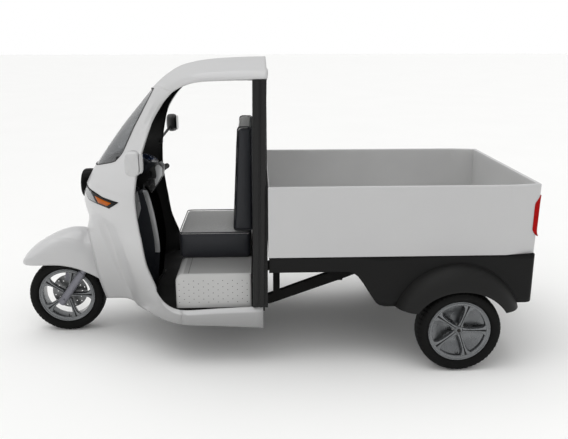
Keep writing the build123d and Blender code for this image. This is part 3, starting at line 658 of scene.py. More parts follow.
def denseSkin():
    steps = cabSkin["steps"]
    columns = [denseColumn(c) for c in range(8)]
    rows = []
    for r in range(len(columns[4])):
        front = [columns[c][r] for c in range(5)]
        side = [columns[c][r] for c in range(4, 8)]
        row = [None] * (4 * steps)
        if front[0] is not None:     # even about the centre line, so its far side leads the spline in
            twin = Vector((front[1].x, -front[1].y, front[1].z))
            row = smoothLine([twin] + front, steps)[steps:-1]
        elif front[2] is not None:
            row = [None] * (2 * steps) + smoothLine(front[2:], steps)[:-1]
        rows.append(row + smoothLine(side, steps))
    return rows


skin = denseSkin()
steps = cabSkin["steps"]
creaseColumn, glassColumn = 4 * steps, 3 * steps
chinAt, glassLow, glassHigh, wingAt = (n * steps for n in (chinRow, glassFrom, glassTo, wingFrom))
sillUntil, roofFrom = 2 * steps, glassTo * steps + 2


def inGlass(r, c):
    return glassLow <= r < glassHigh and c < glassColumn


def skinPart(rowFrom, rowTo, offset, skip, side):    # one half of the skin between two rows
    width = len(skin[0])
    points, numbers = [], {}
    for r in range(rowFrom, rowTo + 1):
        for c in range(width):
            if skin[r][c] is not None:
                p = skin[r][c] - skinNormals[r, c] * offset
                numbers[r, c] = len(points)
                points.append(at(p.x, side * p.y, p.z))
    faces = []
    for r in range(rowFrom, rowTo):
        for c in range(width - 1):
            corners = [(r, c), (r, c + 1), (r + 1, c + 1), (r + 1, c)]
            if all(k in numbers for k in corners) and not (skip and skip(r, c)):
                faces.append([numbers[k] for k in corners])
    return points, faces


def beside(r, c, dr, dc):             # the neighbour of a skin point, or the point itself at an edge
    rr, cc = min(max(r + dr, 0), len(skin) - 1), min(max(c + dc, 0), len(skin[0]) - 1)
    return skin[rr][cc] if skin[rr][cc] is not None else skin[r][c]


def normalsOf():                      # outward, straight from neighbouring points
    found = {}
    for r, row in enumerate(skin):
        for c, p in enumerate(row):
            if p is None:
                continue
            acrossRow, alongRow = beside(r, c, 0, 1) - beside(r, c, 0, -1), beside(r, c, 1, 0) - beside(r, c, -1, 0)
            normal = acrossRow.cross(alongRow)
            found[r, c] = normal.normalized() if normal.length > 1e-9 else Vector((-1, 0, 0))
    flip = -1 if found[glassLow + 3, 3].x > 0 else 1    # the screen faces forward
    return {k: v * flip for k, v in found.items()}


skinNormals = normalsOf()
# a shallow pressed channel runs down each side of the nose, between the two folds
pressLook = {"depth": 6, "low": 380, "high": 824, "fade": 60, "shares": {17: 0.85, 18: 1.0, 19: 0.85}}   # column: share
for r, row in enumerate(skin):
    for c, share in pressLook["shares"].items():
        if row[c] and pressLook["low"] < row[c].z < pressLook["high"]:
            reach = min(row[c].z - pressLook["low"], pressLook["high"] - row[c].z)
            row[c] = row[c] - skinNormals[r, c] * pressLook["depth"] * share * min(1.0, reach / pressLook["fade"])
skinNormals = normalsOf()


def skinShell(name, rowFrom, rowTo, material, skip=None, offset=0.0):    # both halves, welded along the middle
    whole = bmesh.new()
    for side in (-1, 1):
        points, faces = skinPart(rowFrom, rowTo, offset, skip, side)
        verts = [whole.verts.new(p) for p in points]
        for face in faces:
            whole.faces.new([verts[i] for i in face])
    bmesh.ops.remove_doubles(whole, verts=whole.verts, dist=cabSkin["weld"])
    bmesh.ops.delete(whole, geom=[v for v in whole.verts if not v.link_faces], context="VERTS")
    bmesh.ops.recalc_face_normals(whole, faces=whole.faces)
    piece = pieceOf(whole, name, material)
    piece.data.shade_smooth()
    return piece


def sharpEdges(piece):                # the mesh's own marks for edges that stay crisp
    attributes = piece.data.attributes
    return (attributes.get("sharp_edge") or attributes.new("sharp_edge", "BOOLEAN", "EDGE")).data


def markCrease(piece, column, rowFrom, rowTo):   # a crisp fold along one column of the skin
    fold = [row[column] for row in skin[rowFrom:rowTo + 1] if row[column]]
    marks = KDTree(2 * len(fold))
    for i, p in enumerate(fold):
        for side in (-1, 1):
            marks.insert(at(p.x, side * p.y, p.z), i)
    marks.balance()
    close = [marks.find(v.co)[2] < cabSkin["onFold"] for v in piece.data.vertices]
    sharp = sharpEdges(piece)
    for edge in piece.data.edges:
        if close[edge.vertices[0]] and close[edge.vertices[1]]:
            sharp[edge.index].value = True


topRow = len(skin) - 1
cabShell = skinShell("cab_front_shell_skin", sillUntil, roofFrom, cabEnamelPaintedShade, skip=inGlass)
cabRoof = skinShell("cab_roof_skin", roofFrom, topRow, bodyEnamel, skip=inGlass)
markCrease(cabShell, creaseColumn, wingAt, glassLow)
markCrease(cabShell, glassColumn, wingAt, chinAt)
for piece in (cabShell, cabRoof):
    thicken(piece, cabSkin["flange"], liningAbs)
settle(cabShell, "painted_body", "cab_front_shell")
settle(cabRoof, "painted_body", "cab_roof")
sillSkins = thicken(skinShell("sill_skin", 0, sillUntil, cabEnamelPaintedShade), cabSkin["sillFlange"])
settle(sillSkins, "painted_body", "sill_left", "sill_right")

lining = skinShell("cab_lining", sillUntil + 2, topRow, liningAbs, skip=inGlass, offset=cabSkin["liningDepth"])
thicken(lining, cabSkin["liningWall"])
overhead = at(cabSkin["headlining"][0], 0, cabSkin["headlining"][1])
secondFinish(lining, headliningFelt, lambda face: face.center.z > overhead.z and face.center.x < overhead.x)
settle(lining, "black_liner", "cab_liner")
print("cab skin made")


# windscreen
screenLook = {"sink": 2.5, "wall": 4, "sealSink": 1, "sealRadius": 3.4}


def screenPoint(r, c, side, sink):
    p = skin[r][c] - skinNormals[r, c] * sink
    return at(p.x, side * p.y, p.z)


acrossScreen = [(-1, c) for c in range(glassColumn, 0, -1)] + [(1, c) for c in range(glassColumn + 1)]
paneRows = [[screenPoint(r, c, side, screenLook["sink"]) for side, c in acrossScreen]
            for r in range(glassLow, glassHigh + 1)]
screen = gridPiece("windscreen_pane", paneRows, screenGlass)
thicken(tidyMesh(screen, angle=None), screenLook["wall"])
settle(screen, "tinted_glass", "windscreen")
sealPath = ([(glassLow, c, side) for side, c in acrossScreen]
            + [(r, glassColumn, 1) for r in range(glassLow + 1, glassHigh)]
            + [(glassHigh, c, side) for side, c in reversed(acrossScreen)]
            + [(r, glassColumn, -1) for r in range(glassHigh - 1, glassLow, -1)])
sealLine = [screenPoint(*spot, screenLook["sealSink"]) for spot in sealPath]
seal = tubePiece("windscreen_seal", sealLine, screenLook["sealRadius"] / 1000, sealRubber, sides=8, closed=True)
settle(seal, "black_liner")


# lamps let into the skin
skinTree = BVHTree.FromPolygons([v.co.copy() for v in cabShell.data.vertices],
                                [tuple(p.vertices) for p in cabShell.data.polygons])


def onSkin(x, z, side):               # where a sideways line at that station and height meets the skin
    hit, normal, _, _ = skinTree.ray_cast(at(x, side * 1000, z), Vector((0, -side, 0)))
    if hit is None:
        hit, normal, _, _ = skinTree.find_nearest(at(x, side * 300, z))
    if normal.dot(Vector((0, side, 0))) < 0 and abs(normal.y) > 0.02:
        normal = -normal
    return hit, normal


def insideOutline(x, z, outline):
    inside = False
    for (x1, z1), (x2, z2) in zip(outline, outline[1:] + outline[:1]):
        if (z1 > z) != (z2 > z) and x < (x2 - x1) * (z - z1) / (z2 - z1) + x1:
            inside = not inside
    return inside


def skinPatch(name, outline, lift, material, side, wall, cell=9):   # lies on the skin inside an outline of (x, z)
    border = []
    for (x1, z1), (x2, z2) in zip(outline, outline[1:] + outline[:1]):
        parts = max(1, round(math.hypot(x2 - x1, z2 - z1) / cell))
        border += [Vector((mix(x1, x2, k / parts), mix(z1, z2, k / parts))) for k in range(parts)]
    xs, zs = [p[0] for p in outline], [p[1] for p in outline]
    inner = [Vector((x, z)) for x in range(int(min(xs)), int(max(xs)), cell)
             for z in range(int(min(zs)), int(max(zs)), cell) if insideOutline(x, z, outline)]
    inner = [p for p in inner if min((p - q).length for q in border) > cell * 0.6]
    flat, _, faces, *_ = delaunay_2d_cdt(border + inner, [], [list(range(len(border)))], 1, 1e-6)
    points = []
    for p in flat:
        hit, normal = onSkin(p.x, p.y, side)
        points.append(hit + normal * lift / 1000)
    piece = tidyMesh(newPiece(name, points, [list(f) for f in faces], material), angle=None)
    if sum(p.normal.y * side for p in piece.data.polygons) < 0:
        piece.data.flip_normals()
    return thicken(piece, wall)


cornerLamp = {                        # outlines of (x, z), how far they stand off the skin, and their walls
    "bezel": [(205, 995), (284, 983), (347, 966), (463, 962), (392, 909), (308, 911), (234, 918), (197, 958)],
    "reflector": [(208, 990), (262, 979), (268, 966), (300, 917), (236, 923), (202, 958)],
    "amber": [(291, 958), (352, 950), (414, 947), (381, 922), (312, 921)],
    "lift": {"bezel": 2.5, "reflector": 3.6, "amber": 4.4},
    "wall": {"bezel": 5, "reflector": 2, "amber": 2},
}
for side, word in handed:
    for part, material, slot in (("bezel", bezelGloss, "lamp_black"), ("reflector", reflectorChrome, "lamp_black"),
                                 ("amber", amberLens, "lamp_amber")):
        patch = skinPatch(f"corner_lamp_{part}_{word}", cornerLamp[part], cornerLamp["lift"][part], material, side,
                          cornerLamp["wall"][part])
        settle(patch, slot, *(["corner_lamp_" + word] if part == "bezel" else []))

noseLamp = {                          # rings of (x, half height, half width), from the skin forward
    "housing": [(218, 60, 74), (212, 91, 100), (192, 92, 101), (172, 91, 98), (161, 87, 93), (155, 80, 87),
                (153.5, 74, 82), (158, 69, 78)],
    "bowl": [(158, 69, 78), (174, 60, 68), (188, 41, 48), (194, 16, 20), (195, 0.5, 0.5)],
    "lens": [(156, 73, 81), (152, 63, 70), (150, 42, 47), (149, 21, 24), (148.5, 0.5, 0.5)],
    "projector": [(0.0005, 0.156), (0.016, 0.1575), (0.025, 0.163), (0.028, 0.172), (0.028, 0.192)],   # metres
    "height": 968, "steps": 64,
}
for part, material in (("housing", bezelGloss), ("bowl", reflectorChrome), ("lens", lampGlass)):
    rings = [[at(x, wide * math.sin(a), noseLamp["height"] + tall * math.cos(a)) for a in ringTurns(noseLamp["steps"])]
             for x, tall, wide in noseLamp[part]]
    oval = tidyMesh(gridPiece("nose_lamp_" + part, rings, material, closedColumns=True), angle=30)
    settle(oval, "lamp_black", *(["nose_lamp"] if part == "housing" else []))
bulb = lathePiece("nose_lamp_projector", noseLamp["projector"], bezelGloss, steps=40,
                  centre=at(0, 0, noseLamp["height"]), axis="X")
settle(bulb, "lamp_black")
print("glass and lamps made")


# front mudguard
# station; heights of crown, crease and hem; half widths of hem and crease
guardRows = [(-231, 524, 512, 484, 116, 84), (-216, 540, 528, 480, 130, 96), (-190, 564, 548, 478, 140, 106),
             (-150, 592, 576, 478, 145, 110), (-110, 616, 600, 479, 146, 111), (-50, 645, 632, 479, 146, 111),
             (0, 664, 647, 477, 146, 111), (40, 676, 648, 471, 146, 111), (75, 681, 643, 463, 146, 112),
             (120, 680, 629, 448, 146, 115), (160, 672, 612, 431, 146, 119), (205, 663, 618, 408, 146, 128),
             (243, 656, 634, 385, 146, 137)]
guardLook = {"steps": 5, "lengthSteps": 4, "crownSteps": 10, "crownPower": 2.2, "wall": 3.6}


def guardSection(x, crown, crease, hem, half, creaseY):
    line = smoothLine([(x, -half, hem), (x, -half, mix(hem, crease, 0.35)), (x, -half + 1, mix(hem, crease, 0.62)),
                       (x, mix(-half, -creaseY, 0.45), mix(hem, crease, 0.86)), (x, -creaseY, crease)],
                      guardLook["steps"])
    for k in range(1, guardLook["crownSteps"] + 1):
        out = 1 - k / guardLook["crownSteps"]
        line.append(Vector((x, -creaseY * out, crown - (crown - crease) * out ** guardLook["crownPower"])))
    return line + [Vector((p.x, -p.y, p.z)) for p in reversed(line[:-1])]


def alongRows(rows, steps):           # smooth lines through a loft's rows, turned back into more rows
    columns = [smoothLine([row[c] for row in rows], steps) for c in range(len(rows[0]))]
    return [list(row) for row in zip(*columns)]


guardLines = alongRows([guardSection(*row) for row in guardRows], guardLook["lengthSteps"])
guard = gridPiece("front_mudguard_skin", [[at(*p) for p in row] for row in guardLines], bodyEnamel)
tidyMesh(guard, angle=None)
width = len(guardLines[0])
creaseAt = [4 * guardLook["steps"], width - 1 - 4 * guardLook["steps"]]
sharp = sharpEdges(guard)
for edge in guard.data.edges:
    a, b = edge.vertices
    if a % width == b % width and a % width in creaseAt:
        sharp[edge.index].value = True
thicken(guard, guardLook["wall"], liningAbs)
settle(guard, "painted_body", "front_mudguard", body="steering")
print("mudguard made")


# wheels
wheelLook = {
    "facets": 270, "sector": 5,           # facets round the tyre, and how many make one block of tread
    "grooveDepth": 4.5, "ribDepth": 3,    # mm: cross grooves and the groove in the middle
    "groovePoints": range(13, 19), "shiftedPoints": (16, 17), "ribPoint": 19,   # of tyreHalf
    "spokes": 5, "spokeTurn": 90, "spokeWall": 5, "boltCircle": 0.030,
}
# from here on (radius, across) in millimetres: the tyre from bead to crown
tyreHalf = [(166.4, 43), (172, 44.2), (178.4, 45), (180, 50), (184, 56.5), (190, 61), (198, 64), (206, 64.8), (213, 64),
            (219, 62), (220, 61.2), (221.2, 61.2), (222.2, 61.6), (227, 59), (232, 53), (236, 45), (236.6, 38),
            (237.8, 30), (239.6, 18), (240.8, 8)]
# the rim barrel from the outer lip over the well to the inner lip and back
rimBarrel = [(177.6, -44.6), (178, -48.5), (176, -50), (172, -49.6), (168.5, -47), (166.5, -45.5), (161, -44.5),
             (155.5, -44), (152.5, -41.5), (151.5, -36), (150, -20), (149, 10), (151, 38), (158, 46), (172, 49.4),
             (176, 50), (178, 48.5), (177.6, 44.6), (166.3, 44), (166.3, -44), (177.6, -44.6)]
rimHub = [(0.5, -37.5), (13, -37.5), (16, -36.5), (17, -33), (21, -32.5), (25, -30), (27, -20), (36, -14), (37, 24),
          (30, 30), (10.4, 30)]
# the dished cover between the spokes and the brake drum
drumDish = [(30, 6), (60, 9), (90, 3), (118, -8), (138, -19), (150, -24), (150.5, -20), (118, -3), (80, 12), (80, 70),
            (70, 72), (24, 66)]
# radius, half width, face, how deep the flank drops
spokeRows = [(20, 17, -33, 16), (34, 13, -36, 18), (60, 10.5, -38.5, 20), (95, 11, -41, 20), (120, 14, -43, 20),
             (136, 20, -44.5, 18), (147, 30, -45.2, 14), (156, 38, -45.4, 8)]
spokeGroove = {"from": 40, "to": 150, "half": 2.2, "depth": 7, "shallow": 0.4, "flareFrom": 110, "flareOver": 28}


def turned(name, profile, material, **extra):    # a lathe piece from a profile in millimetres
    return lathePiece(name, [(r / 1000, y / 1000) for r, y in profile], material, **extra)


def tyrePiece(name):
    section = [(r, -y) for r, y in tyreHalf] + [(r, y) for r, y in reversed(tyreHalf)]
    last = len(section) - 1

    def tread(i, k, r):               # blocks are offset from side to side, and near the middle again
        spot = min(k, last - k)
        if spot == wheelLook["ribPoint"]:
            return r - wheelLook["ribDepth"] / 1000
        place = (0 if k < last / 2 else 2) + (spot in wheelLook["shiftedPoints"])
        cut = spot in wheelLook["groovePoints"] and i % wheelLook["sector"] == place
        return r - wheelLook["grooveDepth"] / 1000 if cut else r
    return turned(name, section, tyreRubber, steps=wheelLook["facets"], angle=28, wobble=tread)


def spokePiece(number):
    rows = []
    for r, half, face, drop in spokeRows:
        deep = spokeGroove["depth"] if spokeGroove["from"] < r < spokeGroove["to"] else spokeGroove["shallow"]
        g = spokeGroove["half"] * (1 + max(0, r - spokeGroove["flareFrom"]) / spokeGroove["flareOver"])
        flank = [(half + 3.5, face + drop), (half, face + 3.2), (half - 2, face + 0.8), (g + 1.2, face),
                 (g, face + 0.8), (g * 0.5, face + deep)]
        across = [(-a, y) for a, y in flank] + flank[::-1]
        rows.append([Vector((a, y, r)) / 1000 for a, y in across])
    cells = len(rows[0]) - 1
    piece = gridPiece("spoke", alongRows(rows, 3), rimAluminium)
    secondFinish(piece, rimShade, lambda face: face.index % cells in (4, 5, 6))     # the three cells of the groove
    tidyMesh(piece, angle=32, outward=False)
    applyModifiers(thicken(piece, wheelLook["spokeWall"]))
    turn = math.radians(wheelLook["spokeTurn"] + number * 360 / wheelLook["spokes"])
    piece.data.transform(Matrix.Rotation(turn, 4, "Y"))
    return piece


def rimPiece(name, drum):
    parts = [turned("barrel", rimBarrel, rimAluminium, steps=120, angle=25)]
    parts += [spokePiece(n) for n in range(wheelLook["spokes"])]
    parts.append(turned("hub", rimHub, rimAluminium, steps=60, angle=25))
    if drum:
        parts.append(turned("dish", drumDish, rimAluminium, angle=40))
    for k in range(wheelLook["spokes"]):     # wheel bolts between the spokes
        a = math.radians(36 + 72 * k + wheelLook["spokeTurn"])
        spot = (wheelLook["boltCircle"] * math.sin(a), 0, wheelLook["boltCircle"] * math.cos(a))
        parts.append(turned("bolt", [(0.4, -24.5), (4.2, -24.2), (5, -22.5), (5, -17.5)], zincSteel, steps=6,
                            centre=spot, angle=20))
    valve = [(0.0, -0.030, -0.150), (0.0, -0.036, -0.143), (0.0, -0.040, -0.132)]
    parts.append(tubePiece("valve", valve, 0.003, sealRubber, sides=8))
    return joined(name, parts)


rims = {"front": rimPiece("front_rim_cast", False), "rear": rimPiece("rear_rim_cast", True)}
tyre = tyrePiece("tyre_pattern")
for kind, slot in (("rim", "alloy"), ("tyre", "tyre_rubber")):
    for where in ("front", "rear_left", "rear_right"):
        end, _, word = where.partition("_")
        low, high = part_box("front_tyre" if end == "front" else "rear_tyre_" + word)
        hub = at(0, 0, hubHeight) if end == "front" else (low + high) / 2
        place = Matrix.Translation(hub) @ Matrix.Rotation(math.pi if word == "right" else 0, 4, "Z")
        node = f"{end}_{kind}_{word}" if word else f"{end}_{kind}"
        name = node + ("_treaded" if kind == "tyre" else "_alloy" if word else "_cast_alloy")
        source = tyre if kind == "tyre" else rims[end]
        settle(copyOf(source, name, place), slot, node, body=f"{end}_wheel_{word}" if word else "front_wheel")
for source in (*rims.values(), tyre):
    bpy.data.objects.remove(source)
print("wheels made")


# rear arches
# radius, across: from the root out to the lip and back underneath
flareSection = [(374, 604), (371, 616), (364, 634), (351, 656), (332, 679), (306, 700), (280, 714), (260, 721),
                (249, 724), (244.5, 724), (243.5, 721), (246, 716), (258, 711.5), (282, 703), (308, 687), (332, 664),
                (348, 640), (356, 606)]
flareLook = {"cutHeight": 362, "cutTurn": 25, "steps": 64, "wheelX": 2362, "root": 370, "lipAtTop": 243.5,
             "lipAtEnds": 284}


def flareReach(r, a):                 # the lip hangs lower over the tyre than it does ahead of it and behind
    root = flareLook["root"]
    lip = 1 / math.hypot(math.cos(a) / flareLook["lipAtEnds"], math.sin(a) / flareLook["lipAtTop"])
    return root + (r - root) * (root - lip) / (root - flareLook["lipAtTop"])


def flarePiece(name, side):
    rows = [[] for k in range(flareLook["steps"] + 1)]
    for r, y in flareSection:
        cut = flareReach(r, math.radians(flareLook["cutTurn"]))
        start = math.asin((flareLook["cutHeight"] - hubHeight) / cut)
        for k, row in enumerate(rows):
            a = mix(start, math.pi - start, k / flareLook["steps"])
            r2 = flareReach(r, a)
            row.append(at(flareLook["wheelX"] + r2 * math.cos(a), side * y, hubHeight + r2 * math.sin(a)))
    return loft(name, rows, flarePolypropylene, 50)


for side, word in handed:
    settle(flarePiece("arch_flare_moulding_" + word, side), "skirt_plastic", "arch_flare_" + word)


# bed skirts
skirtLook = {"sideY": 607, "topZ": 661.5, "rear": 2794.5, "rearZ": 376, "corner": 22, "rows": 10, "wall": 4,
             "arch": 352, "sill": 364, "sillTo": 2690,                  # wheel arch radius, low run up to a station
             "liftFrom": 2757, "liftOver": 41, "lift": 20}              # the hem lifts round the rear corner
# station, height of the lower edge
skirtHem = [(1292, 575), (1735, 575), (1766, 566), (1790, 548), (1822, 505), (1862, 440), (1895, 390), (1915, 373),
            (1945, 365), (1985, 364), (2030, 364)]
skirtStations = ([1292 + k * 24 for k in range(18)]
                 + [1735, 1750, 1766, 1778, 1790, 1806, 1822, 1842, 1862, 1880, 1895, 1905, 1915, 1930, 1945, 1985]
                 + [flareLook["wheelX"] + 330 * math.sin(a) for a in degrees(-90, 91, 6)]
                 + [2705, 2722, 2740, 2758, 2775])


def hemHeight(x, inward):
    fromWheel = min(abs(x - flareLook["wheelX"]), skirtLook["arch"])
    arch = hubHeight + math.sqrt(skirtLook["arch"] ** 2 - fromWheel ** 2) if fromWheel < skirtLook["arch"] else 0
    low = skirtLook["sill"] if x <= skirtLook["sillTo"] else skirtLook["rearZ"]
    for (x1, z1), (x2, z2) in zip(skirtHem, skirtHem[1:]):
        if x1 <= x <= x2:
            low = mix(z1, z2, (x - x1) / (x2 - x1))
    lift = 0
    if x > skirtLook["liftFrom"] and inward < 30:
        past = (x - skirtLook["liftFrom"]) / skirtLook["liftOver"]
        lift = skirtLook["lift"] * (1 - math.sqrt(max(0.0, 1 - past ** 2)))
    return max(low, arch) + lift


def skirtPiece(name, side):
    radius, rear = skirtLook["corner"], skirtLook["rear"]
    path = [(x, 0.0) for x in sorted(skirtStations)]
    path += [(rear - radius + radius * math.sin(a), radius * (1 - math.cos(a))) for a in degrees(10, 91, 10)]
    path += [(rear, y) for y in (60, 120, 240, 360, 480, skirtLook["sideY"])]
    rows = []
    for k in range(skirtLook["rows"] + 1):
        heights = [mix(skirtLook["topZ"], hemHeight(x, inward), k / skirtLook["rows"]) for x, inward in path]
        rows.append([at(x, side * (skirtLook["sideY"] - inward), z) for (x, inward), z in zip(path, heights)])
    piece = tidyMesh(gridPiece(name, rows, skirtAbs), angle=None)
    if sum(p.normal.y * side for p in piece.data.polygons) < 0:
        piece.data.flip_normals()
    return thicken(piece, skirtLook["wall"])


for side, word in handed:
    settle(skirtPiece("bed_skirt_moulding_" + word, side), "skirt_plastic", "bed_skirt_" + word, "rear_bumper")
plateLook = {"height": 520, "rest": (2782, 2797), "restHalf": (110, 55), "plate": (2796.8, 2798.4),
             "plateHalf": (104, 50), "boltY": 80}
for name, part, radius, material, segments in (("plate_rest", "rest", 0.001, skirtAbs, 4),
                                               ("number_plate_blank", "plate", 0.0006, plateAluminium, 2)):
    (front, back), (wide, tall) = plateLook[part], plateLook[part + "Half"]
    plate = softBox(name, at(front, -wide, plateLook["height"] - tall), at(back, wide, plateLook["height"] + tall),
                    radius, material, segments)
    settle(plate, "skirt_plastic")
for side, word in handed:
    bolt = turned("number_plate_bolt_" + word, [(0.5, 0.6), (4.5, 0.5), (6, 0.1), (6, -1)], zincSteel, steps=6,
                  centre=at(plateLook["plate"][1], side * plateLook["boltY"], plateLook["height"]), axis="X", angle=20)
    settle(bolt, "frame_steel")


# load bed
bedLook = {"front": 1288.5, "rear": 2796.8, "bend": 2620, "half": 622, "turnIn": 30, "top": 1066, "floor": 690.2,
           "base": 662, "wall": 22, "frontWall": 0.35, "taper": 10, "lean": 4, "ribs": 9, "ribHeight": 5,
           "radii": (3, 60, 15, 15, 60, 3), "cornerSteps": 8, "under": 664}


def bedPlan(z):                       # half width and rear station of the tub at a height
    share = (bedLook["top"] - z) / (bedLook["top"] - bedLook["base"])
    return bedLook["half"] - bedLook["taper"] * share, bedLook["rear"] - bedLook["lean"] * share


def bedLoop(z, inset):                # the bed's plan at a height, corners rounded
    half, rear = (size - inset for size in bedPlan(z))
    front = bedLook["front"] + inset * bedLook["frontWall"]
    corners = [(front, -half), (bedLook["bend"], -half), (rear, bedLook["turnIn"] - half)]
    corners = [Vector(p) for p in corners + [(x, -y) for x, y in reversed(corners)]]
    loop = []
    for i, (p, r) in enumerate(zip(corners, bedLook["radii"])):
        a, b = corners[i - 1] - p, corners[(i + 1) % len(corners)] - p
        reach = min(max(r - inset * 0.6, 4) / math.tan(a.angle(b) / 2), a.length * 0.45, b.length * 0.45)
        loop += bend(p + a.normalized() * reach, p, p + b.normalized() * reach, bedLook["cornerSteps"])
    return [at(q.x, q.y, z) for q in loop]


top, wall = bedLook["top"], bedLook["wall"]
# height, inset: outside up, over the rolled lip and down the inside
bedSection = [(663, 3), (664.5, 0.6), (668, 0), (780, 0), (900, 0), (1030, 0), (top - 7, 0), (top - 3, 0.9),
              (top - 0.8, 3), (top, 6), (top, wall - 6), (top - 0.8, wall - 3), (top - 3, wall - 0.9), (top - 7, wall),
              (1030, wall), (900, wall), (780, wall), (706, wall), (697, wall + 3), (692, wall + 9), (690.4, wall + 18)]
bedLines = [bedLoop(z, inset) for z, inset in bedSection]
bedWalls = gridPiece("load_bed_walls", bedLines, bodyEnamel, closedColumns=True)
insideFrom = 12 * len(bedLines[0])    # the first face past the rolled lip
secondFinish(bedWalls, bedEnamel, lambda face: face.index >= insideFrom)
tidyMesh(bedWalls, angle=40)

# share of a rib's pitch, share of its height
ribShape = [(0.0, 0), (0.22, 0), (0.28, 0.25), (0.33, 0.85), (0.38, 1), (0.62, 1), (0.67, 0.85), (0.72, 0.25),
            (0.78, 0)]
span = 2 * (bedLook["half"] - 40 - bedLook["taper"])
pitch = span / bedLook["ribs"]
ribLine = [(-span / 2 + pitch * (k + share), rise) for k in range(bedLook["ribs"]) for share, rise in ribShape]
ribLine.append((span / 2, 0))
# station, share of the ribs' height
ribRun = [(1332, 0), (1352, 0), (1366, 1), (2692, 1), (2706, 0), (2726, 0)]
floorLines = [[at(x, y, bedLook["floor"] + bedLook["ribHeight"] * rise * share) for y, rise in ribLine]
              for x, share in ribRun]
bedFloor = tidyMesh(gridPiece("load_bed_floor", floorLines, bedEnamel), angle=None)
# the tub's underside in the chassis black: painted shade under the bed
underLines = [[at(x, y, bedLook["under"]) for y in (-608, 0, 608)] for x in (1294, 2000, 2765)]
under = tidyMesh(gridPiece("load_bed_under", underLines, chassisBlackAndShade), angle=None)
bed = joined("load_bed_tub", [bedWalls, bedFloor, under])
bed.data.shade_smooth()
bed.data.set_sharp_from_angle(angle=math.radians(40))
settle(bed, "painted_body", "load_bed")

# tail lamps wrap each rear corner of the bed
# height, station where the side part starts, how far in the rear part reaches
lampRows = [(770, 2792, 604), (774, 2785, 596), (780, 2779, 588), (800, 2767, 566), (810, 2765.5, 563),
            (880, 2765.5, 561), (945, 2765.5, 560), (955, 2767, 560), (962, 2770, 560), (994, 2789, 561),
            (1000, 2792, 563), (1004, 2794, 574)]
lampLook = {"proud": 2.4, "sunk": -3, "face": 0.985, "middle": (886, 2786, 588), "corner": 9}


def lampSheet(side, proud, scale):    # a sheet round the corner, that far out of the bed's wall
    rows = []
    for row in lampRows:
        z, start, reach = (mix(middle, value, scale) for middle, value in zip(lampLook["middle"], row))
        half, rear = (size + proud for size in bedPlan(z))
        inward = bedLook["turnIn"] * (bedLook["rear"] - start) / (bedLook["rear"] - bedLook["bend"])
        corner = Vector((rear, half - bedLook["turnIn"]))
        a, b = Vector((start, corner.y + inward)), Vector((rear, reach))
        near, far = (corner + (p - corner).normalized() * min(lampLook["corner"], (p - corner).length * 0.45)
                     for p in (a, b))
        path = [a, a.lerp(near, 0.5)] + bend(near, corner, far, 5) + [far.lerp(b, 0.5), b]
        rows.append([at(q.x, side * q.y, z) for q in path])
    return rows


def lampPiece(name, side):            # the face, and a rim that runs from its border down into the bed
    face, foot = lampSheet(side, lampLook["proud"], lampLook["face"]), lampSheet(side, lampLook["sunk"], 1.0)
    tall, wide = len(face), len(face[0])
    border = ([(0, c) for c in range(wide)] + [(r, wide - 1) for r in range(1, tall)]
              + [(tall - 1, c) for c in range(wide - 2, -1, -1)] + [(r, 0) for r in range(tall - 2, 0, -1)])
    points = [p for row in face for p in row] + [foot[r][c] for r, c in border]
    faces = gridFaces(tall, wide)
    for k, (r, c) in enumerate(border):
        after = (k + 1) % len(border)
        r2, c2 = border[after]
        faces.append((r * wide + c, r2 * wide + c2, tall * wide + after, tall * wide + k))
    return tidyMesh(newPiece(name, points, faces, redLens), angle=30)


for side, word in handed:
    settle(lampPiece("tail_lamp_lens_" + word, side), "lamp_red", "tail_lamp_" + word)
print("bed made")


# the dark tub over the front wheel, its hem kept above the skin's lower edge
tubLook = {"half": 228, "wall": 0.003,                                            # mm, metres
           "line": [(300, 753), (392, 753), (437, 627), (465, 400), (466, 330)],   # down the middle of the tub
           "hem": [(390, 330), (350, 590), (310, 690)]}                            # and back up along its cheeks
edges = (-tubLook["half"], tubLook["half"])
tubRows = [[at(x, y, z) for y in (edges[0], -80, 80, edges[1])] for x, z in tubLook["line"]]
tubSheet = gridPiece("sheet", tubRows, liningAbs)
cheekPoints = [at(x, y, z) for y in edges for x, z in tubLook["line"] + tubLook["hem"]]
count = len(cheekPoints) // 2
cheekFaces = [tuple(range(count)), tuple(range(2 * count - 1, count - 1, -1))]
tubCheeks = newPiece("cheeks", cheekPoints, cheekFaces, liningAbs)
tub = tidyMesh(joined("front_wheel_tub", [tubSheet, tubCheeks]), weld=0.0002, angle=30)
addModifier(tub, "SOLIDIFY", thickness=tubLook["wall"], offset=0)
applyModifiers(tub)
settle(tub, "black_liner", "wheel_housing")


# door pillars with the channel that the door seal would sit in
pillarLook = {"lowZ": 373, "highZ": 1634, "lowX": (1198, 1263), "highX": (1211, 1286.5), "faceY": 615.4, "rows": 10}
# share of the depth, in from the outer face
pillarSection = [(0.0, 13), (0.02, 5), (0.08, 1), (0.16, 0), (0.43, 0), (0.47, 1.4), (0.49, 5.5), (0.6, 5.5),
                 (0.62, 1.4), (0.66, 0), (0.88, 0), (0.95, 1.2), (0.99, 5), (1.0, 13), (1.0, 36), (0.96, 43),
                 (0.04, 43), (0.0, 36)]


def pillarPiece(name, side):
    rows = []
    for k in range(pillarLook["rows"] + 1):
        share = k / pillarLook["rows"]
        z = mix(pillarLook["lowZ"], pillarLook["highZ"], share)
        front, rear = (mix(pillarLook["lowX"][i], pillarLook["highX"][i], share) for i in range(2))
        rows.append([at(mix(front, rear, s), side * (pillarLook["faceY"] - inward), z) for s, inward in pillarSection])
    return loft(name, rows, pillarAbs, 42)


for side, word in handed:
    settle(pillarPiece("door_pillar_moulding_" + word, side), "pillar_plastic", "door_pillar_" + word)
print("pillars made")


